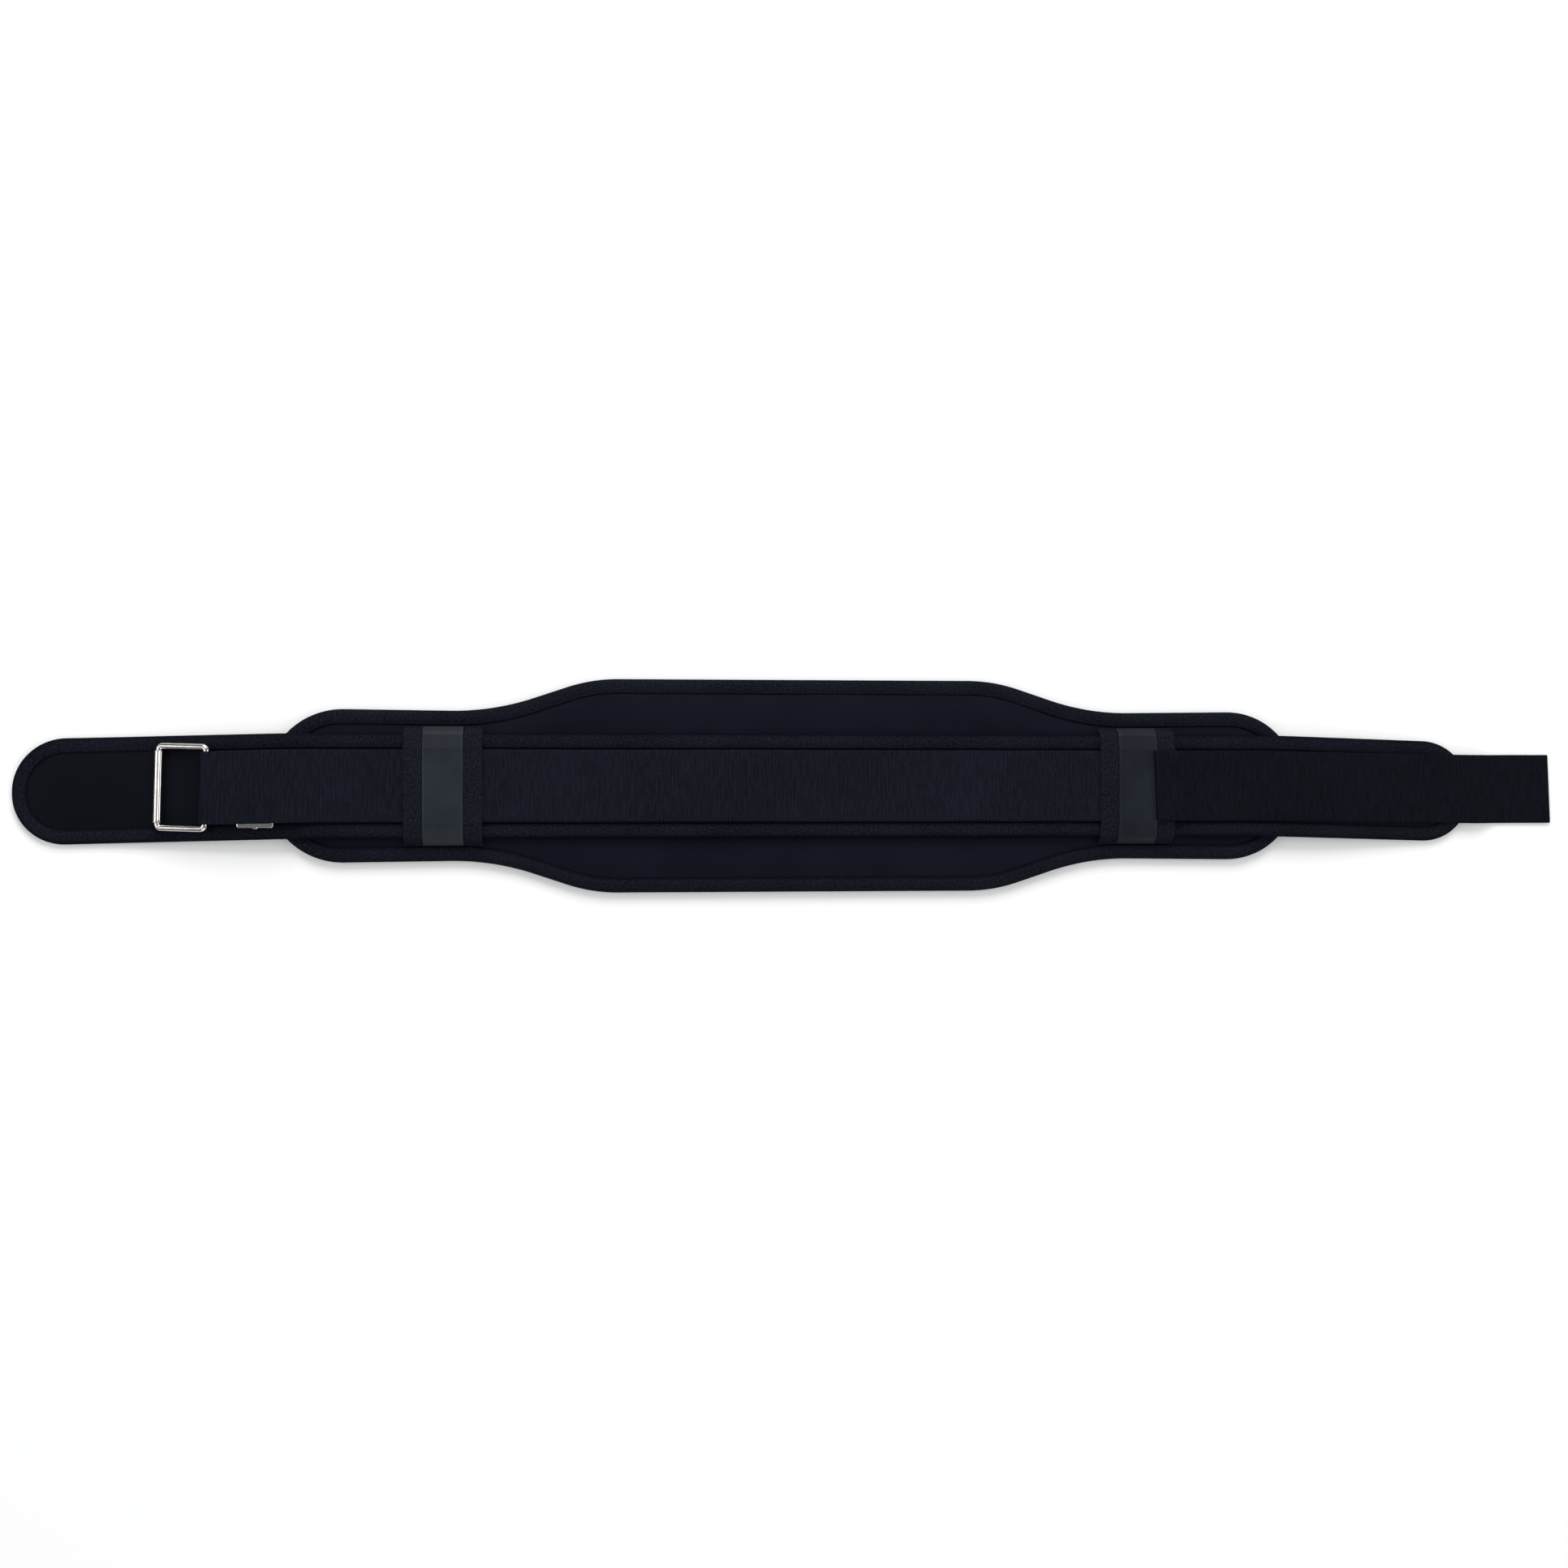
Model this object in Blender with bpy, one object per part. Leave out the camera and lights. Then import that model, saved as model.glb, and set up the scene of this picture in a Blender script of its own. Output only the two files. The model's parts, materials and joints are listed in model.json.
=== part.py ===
"""A padded nylon weightlifting belt, laid out flat with its outer face up.

A shaped foam back pad carries a long foam band, held on it by two sewn keepers.
A webbing strap lies along the band and folds round a steel roller ring at the left.
A second strap starts at the right keeper and ends loose, past the end of the band.

Metres, +Z up. +X runs along the belt to the loose end of the closing strap, +Y across it.
The origin is on the floor, under the middle of the belt's whole length and width.
"""

import math

import bmesh
import bpy
from mathutils import Matrix, Vector

# What touching pieces keep between them
GAP = 0.0003

# Binding tape, folded over the edges of the pad and of the band
BINDING_WIDTH = 0.0105
BINDING_THICKNESS = 0.0010
BINDING_EDGE_RADIUS = 0.0020

# Band: a foam strip in nylon, from the tip of the tongue to its hidden right end
BAND_WIDTH = 0.074
BAND_THICKNESS = 0.005
BAND_CORNER_RADIUS = 0.0362
TONGUE_REACH = 0.1725
BAND_END_REACH = 0.1325

# Back pad: a foam panel, widest in the middle, with a waist under each keeper and round ends
PAD_LENGTH = 0.745
PAD_WIDTH = 0.1524
PAD_THICKNESS = 0.008
PAD_WIDE_LENGTH = 0.290
PAD_TAPER_LENGTH = 0.070
PAD_SHOULDER_RISE = 0.0018
PAD_WIDE_RADIUS = 0.115
PAD_WAIST_RADIUS = 0.177
PAD_END_RADIUS = 0.053
FOAM_EDGE_RAMP = 0.0015

# How the band lies: it sinks from the pad to the floor, and its ends bend a little to one side
DROOP_LENGTH = 0.125
PAD_REST_INSET = 0.006
BEND_INSET = 0.044
BEND_EASE = 0.040
TONGUE_BEND = 0.024
BAND_END_BEND = 0.0315
CLOSING_BEND_SHARE = 0.5

# Webbing of the long strap on the band, and of the closing strap
WEBBING_WIDTH = 0.0508
WEBBING_THICKNESS = 0.0018
WEBBING_END_INSET = 0.010
CLOSING_THICKNESS = 0.0022
TAIL_REACH = 0.0635
TAIL_DROP_LENGTH = 0.022
CLOSING_LAP = 0.0014
CLOSING_STEP_LENGTH = 0.006
CLOSING_DROP_LENGTH = 0.012
CLOSING_DROP_START = 0.002
CUT_SLANT = 0.042

# Keepers: fabric loops over the band, sewn to the pad, each with a smooth rubber stripe
KEEPER_SPACING = 0.498
KEEPER_WIDTH = 0.055
KEEPER_THICKNESS = 0.0012
KEEPER_FOOT_ROOM = 0.0054
KEEPER_FOOT_LENGTH = 0.0015
KEEPER_SHOULDER_RADIUS = 0.006
KEEPER_EDGE_RADIUS = 0.003
KEEPER_FOOT_RADIUS = 0.002
STRIPE_WIDTH = 0.028
STRIPE_THICKNESS = 0.0008

# Roller ring: a bent steel wire frame, with a tube that turns on its left bar
RING_REACH = 0.0388
RING_BAR_SPACING = 0.0333
RING_WIRE = 0.0044
RING_CORNER_RADIUS = 0.003
RING_SIDE_GAP = 0.0008
RING_LEAN = math.radians(1.5)
LEAN_FADE = 0.022
ROLLER_WALL = 0.0006

# Slide: a flat steel frame of two slots, hidden under the strap but for one long side
SLIDE_FROM_RING = 0.0338
SLIDE_LENGTH = 0.0252
SLIDE_OVERHANG = 0.0028
SLIDE_BAR = 0.0028
SLIDE_THICKNESS = 0.0020
SLIDE_BUMP = 0.0009
SLIDE_BUMP_WIDTH = 0.0040
SLIDE_EDGE_BEVEL = 0.0004
RETURN_SIDE_GAP = 0.0004
RETURN_END_LENGTH = 0.006
STRAP_LANDING_LENGTH = 0.032

# Points per arc and along a curved stretch
ARC_STEPS = 7
BEND_STEPS = 12
STATION_STEP = 0.013

# Places along the belt
BAND_LENGTH = TONGUE_REACH + PAD_LENGTH + BAND_END_REACH
BAND_LEFT = -(BAND_LENGTH + TAIL_REACH) / 2
BAND_RIGHT = BAND_LEFT + BAND_LENGTH
PAD_LEFT = BAND_LEFT + TONGUE_REACH
PAD_RIGHT = PAD_LEFT + PAD_LENGTH
PAD_X = (PAD_LEFT + PAD_RIGHT) / 2
KEEPER_LEFT_X = PAD_X - KEEPER_SPACING / 2
KEEPER_RIGHT_X = PAD_X + KEEPER_SPACING / 2
RING_BAR_X = PAD_LEFT - RING_REACH
SLIDE_X = RING_BAR_X + SLIDE_FROM_RING
STRIPE_EDGE = KEEPER_RIGHT_X + STRIPE_WIDTH / 2
CLOSING_DROP = max(
    KEEPER_RIGHT_X + KEEPER_WIDTH / 2 + CLOSING_DROP_START,
    STRIPE_EDGE + GAP + CLOSING_STEP_LENGTH,
)

# Heights above the top of the band at the fold round the ring, and through the slide
WIRE_RADIUS = RING_WIRE / 2
RETURN_HEIGHT = GAP + WEBBING_THICKNESS / 2
SLIDE_HEIGHT = 2 * GAP + WEBBING_THICKNESS
OVER_SLIDE_HEIGHT = SLIDE_HEIGHT + SLIDE_THICKNESS + GAP + WEBBING_THICKNESS / 2
RING_BAR_HEIGHT = max(
    2 * GAP + WEBBING_THICKNESS + WIRE_RADIUS,
    (RETURN_HEIGHT + OVER_SLIDE_HEIGHT + WEBBING_THICKNESS + GAP) / 2,
)
FOLD_RADIUS = RING_BAR_HEIGHT - RETURN_HEIGHT
ROLLER_BORE_RADIUS = WIRE_RADIUS + GAP
ROLLER_RADIUS = ROLLER_BORE_RADIUS + ROLLER_WALL

# Heights above the floor where the keepers cross the belt
PAD_TOP = PAD_THICKNESS
BAND_ON_PAD_TOP = PAD_TOP + GAP + BAND_THICKNESS
KEEPER_FOOT_Z = PAD_TOP + GAP + KEEPER_THICKNESS / 2
KEEPER_EDGE_Z = BAND_ON_PAD_TOP + GAP + KEEPER_THICKNESS / 2
KEEPER_TOP_Z = KEEPER_EDGE_Z + WEBBING_THICKNESS + GAP


def smooth(t):
    """Rises from 0 to 1 as t does, level at both ends."""
    t = min(max(t, 0.0), 1.0)
    return t * t * (3 - 2 * t)


def spread(start, end, count):
    """count + 1 values from start to end, evenly spaced."""
    return [start + (end - start) * i / count for i in range(count + 1)]


def stations(start, end):
    """Values from start to end, a station step apart or a little less."""
    return spread(start, end, max(1, math.ceil(abs(end - start) / STATION_STEP)))


def band_rise(x):
    """Height of the band's underside: on the pad in the middle, and down to the floor past its ends."""
    from_left = (x - (PAD_LEFT + PAD_REST_INSET - DROOP_LENGTH)) / DROOP_LENGTH
    from_right = ((PAD_RIGHT - PAD_REST_INSET + DROOP_LENGTH) - x) / DROOP_LENGTH
    return GAP + PAD_THICKNESS * smooth(min(from_left, from_right))


def band_top(x):
    """Height of the band's upper face."""
    return band_rise(x) + BAND_THICKNESS


def eased(distance):
    """A straight slope that starts gently at 0."""
    distance = max(distance, 0.0)
    if distance < BEND_EASE:
        return distance * distance / (2 * BEND_EASE)
    return distance - BEND_EASE / 2


def band_bend(x):
    """Sideways place of the band's centreline."""
    left = eased(PAD_LEFT + BEND_INSET - x)
    right = eased(x - (PAD_RIGHT - BEND_INSET))
    return -TONGUE_BEND * left - BAND_END_BEND * right


def closing_bend(x):
    """Sideways place of the closing strap's centreline, which follows the band's only in part."""
    return CLOSING_BEND_SHARE * band_bend(min(x, BAND_RIGHT))


def rounded_path(corners, steps=ARC_STEPS):
    """Points along a polyline of (a, b, radius) corners, with an arc at each corner that has a radius.

    Each point comes with the path's unit normal, on its left: (a, b, normal a, normal b).
    An arc shrinks where the lines at its corner are too short for it.
    """
    points = []
    spots = [Vector(corner[:2]) for corner in corners]
    for i, (spot, corner) in enumerate(zip(spots, corners)):
        before = (spot - spots[i - 1]).normalized() if i > 0 else (spots[1] - spot).normalized()
        after = (spots[i + 1] - spot).normalized() if i < len(spots) - 1 else before
        normal = Vector((-before.y, before.x))
        turn = before.angle_signed(after, 0.0) if i else 0.0
        if corner[2] == 0 or abs(turn) < 1e-6:
            points.append((*spot, *normal))
            continue
        reach = corner[2] * math.tan(abs(turn) / 2)
        for other in (i - 1, i + 1):
            share = 0.5 if corners[other][2] else 0.98
            reach = min(reach, share * (spots[other] - spot).length)
        radius = reach / math.tan(abs(turn) / 2)
        side = math.copysign(1.0, turn)
        centre = spot - before * reach - normal * radius * side
        for step in range(steps + 1):
            angle = -turn * step / steps
            leaning = Vector(
                (
                    normal.x * math.cos(angle) - normal.y * math.sin(angle),
                    normal.x * math.sin(angle) + normal.y * math.cos(angle),
                )
            )
            points.append((*(centre + leaning * radius * side), *leaning))
    return points


def finish_object(name, data, material, parent=None):
    """An object of this mesh or curve, in the scene, with its material."""
    obj = bpy.data.objects.new(name, data)
    data.materials.append(material)
    bpy.context.scene.collection.objects.link(obj)
    obj.parent = parent
    return obj


def mesh_from(bm, name):
    """The bmesh as a mesh with its faces pointing out, smooth but for its real edges."""
    bmesh.ops.recalc_face_normals(bm, faces=bm.faces)
    mesh = bpy.data.meshes.new(name)
    bm.to_mesh(mesh)
    bm.free()
    mesh.shade_smooth()
    mesh.set_sharp_from_angle(angle=math.radians(35))
    return mesh


def loop_of(outline, inset, height):
    """A loop round a panel, this far in from its outline: out along the +Y side, back along the other."""
    upper = [(x - nx * inset, y - ny * inset, height) for x, y, nx, ny in outline]
    return upper + [(x, -y, z) for x, y, z in reversed(upper)]


def skinned_panel(name, outline, profile, closed, lay, material):
    """A panel's solid, from a profile of (inset, height) rows carried round its outline.

    An open profile is a slab, closed above and below by faces across it; a closed one is a tape round the edge.
    lay takes a point of the flat panel to its place.
    """
    bm = bmesh.new()
    loops = [[bm.verts.new(lay(*point)) for point in loop_of(outline, *row)] for row in profile]
    count = len(loops[0])
    pairs = list(zip(loops, loops[1:]))
    if closed:
        pairs.append((loops[-1], loops[0]))
    for lower, upper in pairs:
        for i in range(count):
            j = (i + 1) % count
            bm.faces.new((lower[i], lower[j], upper[j], upper[i]))
    if not closed:
        for loop in (loops[0], loops[-1]):
            for i in range(count // 2 - 1):
                bm.faces.new((loop[i], loop[i + 1], loop[count - 2 - i], loop[count - 1 - i]))
    return finish_object(name, mesh_from(bm, name), material)


def foam_profile(thickness):
    """Rows of a foam panel, underside to top: full depth in the middle, pressed thin under the binding."""
    step = BINDING_THICKNESS + GAP
    inner = BINDING_WIDTH + GAP
    chamfer = (BINDING_EDGE_RADIUS - BINDING_THICKNESS) * 0.6
    return [
        (inner + FOAM_EDGE_RAMP, 0.0),
        (inner, step),
        (step + chamfer, step),
        (step, step + chamfer),
        (step, thickness - step - chamfer),
        (step + chamfer, thickness - step),
        (inner, thickness - step),
        (inner + FOAM_EDGE_RAMP, thickness),
    ]


def tape_profile(thickness):
    """Rows of the binding tape: in over the top, round the edge and in under the foot, then back inside."""
    radius = BINDING_EDGE_RADIUS
    inner_radius = radius - BINDING_THICKNESS
    outer = [(BINDING_WIDTH, thickness)]
    inner = [(BINDING_WIDTH, thickness - BINDING_THICKNESS)]
    for angle in spread(0.0, math.pi / 2, 2):
        across, up = math.sin(angle), math.cos(angle)
        outer.append((radius * (1 - across), thickness - radius * (1 - up)))
    for angle in spread(0.0, math.pi / 2, 1):
        across, up = math.sin(angle), math.cos(angle)
        inner.append((radius - inner_radius * across, thickness - radius + inner_radius * up))
    outer += [(inset, thickness - height) for inset, height in reversed(outer)]
    inner += [(inset, thickness - height) for inset, height in reversed(inner)]
    return outer + inner[::-1]


def pad_outline():
    """The pad's +Y edge from its left end to its right end, about its own middle."""
    waist = BAND_WIDTH / 2 + KEEPER_FOOT_ROOM + BINDING_WIDTH
    shoulder = waist + PAD_SHOULDER_RISE
    wide_end = PAD_WIDE_LENGTH / 2
    half = [
        (wide_end, PAD_WIDTH / 2, PAD_WIDE_RADIUS),
        (wide_end + PAD_TAPER_LENGTH, waist, PAD_WAIST_RADIUS),
        (PAD_LENGTH / 2, shoulder, PAD_END_RADIUS),
        (PAD_LENGTH / 2, 0.0, 0.0),
    ]
    corners = [(-x, y, radius) for x, y, radius in reversed(half)] + half
    return rounded_path(corners)[1:-1]


def band_outline():
    """The band's +Y edge from the tip of the tongue to its right end, with stations where it bends."""
    half = BAND_WIDTH / 2
    left = PAD_LEFT + PAD_REST_INSET - DROOP_LENGTH
    right = PAD_RIGHT - PAD_REST_INSET + DROOP_LENGTH
    bends = stations(left, PAD_LEFT + BEND_INSET) + stations(PAD_RIGHT - BEND_INSET, right)
    clear = 1.1 * BAND_CORNER_RADIUS
    bends = [x for x in bends if BAND_LEFT + clear < x < BAND_RIGHT - clear]
    corners = [(BAND_LEFT, 0.0, 0.0), (BAND_LEFT, half, BAND_CORNER_RADIUS)]
    corners += [(x, half, 0.0) for x in bends]
    corners += [(BAND_RIGHT, half, BAND_CORNER_RADIUS), (BAND_RIGHT, 0.0, 0.0)]
    return rounded_path(corners)[1:-1]


def add_pad(materials):
    """The back pad's foam panel and the tape round its edge."""

    def lay(x, y, z):
        return (x + PAD_X, y, z)

    outline = pad_outline()
    skinned_panel("back_pad", outline, foam_profile(PAD_THICKNESS), False, lay, materials["pad"])
    skinned_panel(
        "back_pad_binding", outline, tape_profile(PAD_THICKNESS), True, lay, materials["binding"]
    )


def add_band(materials):
    """The long band's foam strip and the tape round its edge."""

    def lay(x, y, z):
        return (x, y + band_bend(x), z + band_rise(x))

    outline = band_outline()
    skinned_panel("belt_band", outline, foam_profile(BAND_THICKNESS), False, lay, materials["band"])
    skinned_panel(
        "belt_band_binding", outline, tape_profile(BAND_THICKNESS), True, lay, materials["binding"]
    )


def ribbon(name, rows, thickness, material):
    """A strap from rows of two edge points, thickened about its middle."""
    bm = bmesh.new()
    edges = [[bm.verts.new(point) for point in row] for row in rows]
    for (a, b), (c, d) in zip(edges, edges[1:]):
        bm.faces.new((a, b, d, c))
    obj = finish_object(name, mesh_from(bm, name), material)
    wall = obj.modifiers.new("wall", "SOLIDIFY")
    wall.thickness = thickness
    wall.offset = 0.0
    wall.use_even_offset = True
    return obj


def raised_strap_height(x):
    """Height of the long strap's middle above the band: raised over ring and slide, then down on the band."""
    landing = SLIDE_X + SLIDE_LENGTH / 2
    raised = RING_BAR_HEIGHT + FOLD_RADIUS
    return raised + (RETURN_HEIGHT - raised) * smooth((x - landing) / STRAP_LANDING_LENGTH)


def return_height(x):
    """Height of the returning end's middle above the band: under the slide's ends and over its middle bar."""
    slot = SLIDE_LENGTH / 2 - 1.5 * SLIDE_BAR
    distance = abs(x - SLIDE_X) - SLIDE_BAR / 2
    return OVER_SLIDE_HEIGHT + (RETURN_HEIGHT - OVER_SLIDE_HEIGHT) * smooth(distance / slot)


def add_long_strap(materials):
    """The webbing on the band: from under the right keeper, over the slide, round the ring and back."""
    end = KEEPER_RIGHT_X + KEEPER_WIDTH / 2 - WEBBING_END_INSET
    landing = SLIDE_X + SLIDE_LENGTH / 2
    flat_end = max(PAD_LEFT + BEND_INSET, landing + STRAP_LANDING_LENGTH)
    slide_left = SLIDE_X - SLIDE_LENGTH / 2
    return_end = SLIDE_X + SLIDE_LENGTH / 2 + RETURN_END_LENGTH

    path = [(end, RETURN_HEIGHT)]
    path += [(x, RETURN_HEIGHT) for x in stations(flat_end, landing + STRAP_LANDING_LENGTH)]
    for x in spread(landing + STRAP_LANDING_LENGTH, landing, BEND_STEPS)[1:]:
        path.append((x, raised_strap_height(x)))
    for x in stations(landing, RING_BAR_X)[1:-1]:
        path.append((x, raised_strap_height(x)))
    for angle in spread(math.pi / 2, math.pi * 3 / 2, BEND_STEPS):
        x = RING_BAR_X + FOLD_RADIUS * math.cos(angle)
        path.append((x, RING_BAR_HEIGHT + FOLD_RADIUS * math.sin(angle)))
    turn = len(path)
    path += [(x, RETURN_HEIGHT) for x in spread(RING_BAR_X, slide_left, 4)[1:]]
    for x in spread(slide_left + SLIDE_BAR, SLIDE_X - SLIDE_BAR / 2, BEND_STEPS):
        path.append((x, return_height(x)))
    for x in spread(SLIDE_X + SLIDE_BAR / 2, -slide_left - SLIDE_BAR + 2 * SLIDE_X, BEND_STEPS):
        path.append((x, return_height(x)))
    path.append((return_end, RETURN_HEIGHT))

    narrow = (WEBBING_WIDTH + SLIDE_OVERHANG) / 2 - SLIDE_BAR - RETURN_SIDE_GAP
    rows = []
    for i, (x, height) in enumerate(path):
        tuck = smooth((x - RING_BAR_X) / (slide_left - RING_BAR_X)) if i >= turn else 0.0
        half = WEBBING_WIDTH / 2 + (min(narrow, WEBBING_WIDTH / 2) - WEBBING_WIDTH / 2) * tuck
        lean = math.tan(RING_LEAN) * (1 - smooth((x - RING_BAR_X) / LEAN_FADE))
        ground = band_top(RING_BAR_X) if abs(x - RING_BAR_X) <= FOLD_RADIUS else band_top(x)
        side = band_bend(x) - slide_shift() * tuck
        rows.append([(x + lean * y, side + y, ground + height) for y in (half, -half)])
    ribbon("long_strap", rows, WEBBING_THICKNESS, materials["webbing"])


def closing_height(x):
    """Height of the closing strap's middle above the floor: on stripe, keeper, band and then the floor."""
    on_keeper = KEEPER_TOP_Z + KEEPER_THICKNESS / 2 + GAP + CLOSING_THICKNESS / 2
    on_stripe = on_keeper + STRIPE_THICKNESS + GAP
    on_band = band_top(min(x, BAND_RIGHT)) + GAP + CLOSING_THICKNESS / 2
    on_floor = GAP + CLOSING_THICKNESS / 2
    height = on_stripe + (on_keeper - on_stripe) * smooth((x - STRIPE_EDGE - GAP) / CLOSING_STEP_LENGTH)
    height += (on_band - height) * smooth((x - CLOSING_DROP) / CLOSING_DROP_LENGTH)
    return height + (on_floor - height) * smooth((x - BAND_RIGHT) / TAIL_DROP_LENGTH)


def add_closing_strap(materials):
    """The strap that is pulled through the ring: over the right keeper, along the band and past its end."""
    half = WEBBING_WIDTH / 2
    places = [STRIPE_EDGE - CLOSING_LAP]
    places += spread(STRIPE_EDGE + GAP, STRIPE_EDGE + GAP + CLOSING_STEP_LENGTH, BEND_STEPS // 2)
    places += [x for x in spread(CLOSING_DROP, CLOSING_DROP + CLOSING_DROP_LENGTH, BEND_STEPS) if x > places[-1]]
    places += [x for x in stations(PAD_RIGHT - BEND_INSET, BAND_RIGHT) if x > places[-1] + GAP]
    places += spread(BAND_RIGHT, BAND_RIGHT + TAIL_DROP_LENGTH, BEND_STEPS)[1:]
    places += [BAND_RIGHT + TAIL_REACH - CUT_SLANT * half]
    rows = []
    for middle in places:
        row = []
        for y in (half, -half):
            x = middle - CUT_SLANT * y
            row.append((x, closing_bend(middle) + y, closing_height(x)))
        rows.append(row)
    ribbon("closing_strap", rows, CLOSING_THICKNESS, materials["webbing"])


def keeper_path():
    """A keeper's middle from one foot to the other, as (y, z, normal y, normal z)."""
    foot_end = BAND_WIDTH / 2 + KEEPER_FOOT_ROOM - GAP
    half = [
        (WEBBING_WIDTH / 2 + GAP + KEEPER_THICKNESS / 2, KEEPER_TOP_Z, KEEPER_SHOULDER_RADIUS),
        (BAND_WIDTH / 2 - GAP, KEEPER_EDGE_Z, KEEPER_EDGE_RADIUS),
        (foot_end - KEEPER_FOOT_LENGTH, KEEPER_FOOT_Z, KEEPER_FOOT_RADIUS),
        (foot_end, KEEPER_FOOT_Z, 0.0),
    ]
    corners = [(-y, z, radius) for y, z, radius in reversed(half)] + half
    return rounded_path(corners, steps=4)


def across_belt(name, x, width, thickness, raised, material):
    """A strip of this width over the belt at x, its middle raised above a keeper's middle."""
    rows = []
    for y, z, ny, nz in keeper_path():
        place = (y + ny * raised, z + nz * raised)
        rows.append([(x - width / 2, *place), (x + width / 2, *place)])
    ribbon(name, rows, thickness, material)


def add_keepers(materials):
    """The two keepers, each with its rubber stripe."""
    raised = KEEPER_THICKNESS / 2 + GAP + STRIPE_THICKNESS / 2
    for side, x in (("left", KEEPER_LEFT_X), ("right", KEEPER_RIGHT_X)):
        across_belt(f"keeper_{side}", x, KEEPER_WIDTH, KEEPER_THICKNESS, 0.0, materials["keeper"])
        across_belt(
            f"keeper_stripe_{side}", x, STRIPE_WIDTH, STRIPE_THICKNESS, raised, materials["stripe"]
        )


def add_ring(materials):
    """The roller ring, hung in the strap's fold: its empty sits on the fold's axis, its roller's on the left bar."""
    left_x = RING_BAR_X - RING_BAR_SPACING
    right_z = band_top(RING_BAR_X) + RING_BAR_HEIGHT
    left_z = band_top(left_x) + GAP + ROLLER_RADIUS
    pitch = math.asin((right_z - left_z) / RING_BAR_SPACING)
    turn = Matrix.Rotation(-RING_LEAN, 4, "Z") @ Matrix.Rotation(-pitch, 4, "Y")

    pivot = bpy.data.objects.new("ring_pivot", None)
    bpy.context.scene.collection.objects.link(pivot)
    pivot.matrix_world = Matrix.Translation((RING_BAR_X, band_bend(RING_BAR_X), right_z)) @ turn

    half = WEBBING_WIDTH / 2 + RING_SIDE_GAP + WIRE_RADIUS
    corner = RING_CORNER_RADIUS
    loop = [
        (-RING_BAR_SPACING / 2, half, 0.0),
        (0.0, half, corner),
        (0.0, -half, corner),
        (-RING_BAR_SPACING, -half, corner),
        (-RING_BAR_SPACING, half, corner),
        (-RING_BAR_SPACING / 2, half, 0.0),
    ]
    points = rounded_path(loop, steps=4)[:-1]
    wire = bpy.data.curves.new("ring_frame", "CURVE")
    wire.dimensions = "3D"
    wire.bevel_depth = WIRE_RADIUS
    wire.bevel_resolution = 3
    spline = wire.splines.new("POLY")
    spline.points.add(len(points) - 1)
    for point, (x, y, _, _) in zip(spline.points, points):
        point.co = (x, y, 0.0, 1.0)
    spline.use_cyclic_u = True
    finish_object("ring_frame", wire, materials["steel"], pivot)

    axle = bpy.data.objects.new("roller_axle", None)
    bpy.context.scene.collection.objects.link(axle)
    axle.parent = pivot
    axle.location = (-RING_BAR_SPACING, 0.0, 0.0)
    add_roller(half - corner - GAP, axle, materials)


def add_roller(half_length, axle, materials):
    """The tube round the ring's left bar, turned about its own Y axis."""
    bm = bmesh.new()
    wall = [
        (ROLLER_BORE_RADIUS, -half_length),
        (ROLLER_RADIUS, -half_length),
        (ROLLER_RADIUS, half_length),
        (ROLLER_BORE_RADIUS, half_length),
    ]
    verts = [bm.verts.new((radius, y, 0.0)) for radius, y in wall]
    edges = [bm.edges.new((a, b)) for a, b in zip(verts, verts[1:] + verts[:1])]
    bmesh.ops.spin(
        bm,
        geom=verts + edges,
        cent=(0.0, 0.0, 0.0),
        axis=(0.0, 1.0, 0.0),
        angle=math.tau,
        steps=24,
    )
    bmesh.ops.remove_doubles(bm, verts=bm.verts, dist=GAP / 100)
    finish_object("roller", mesh_from(bm, "roller"), materials["steel"], axle)


def slide_shift():
    """How far the slide lies to the -Y side, so that its other long side is under the strap's edge."""
    return SLIDE_OVERHANG / 2 + GAP


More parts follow.
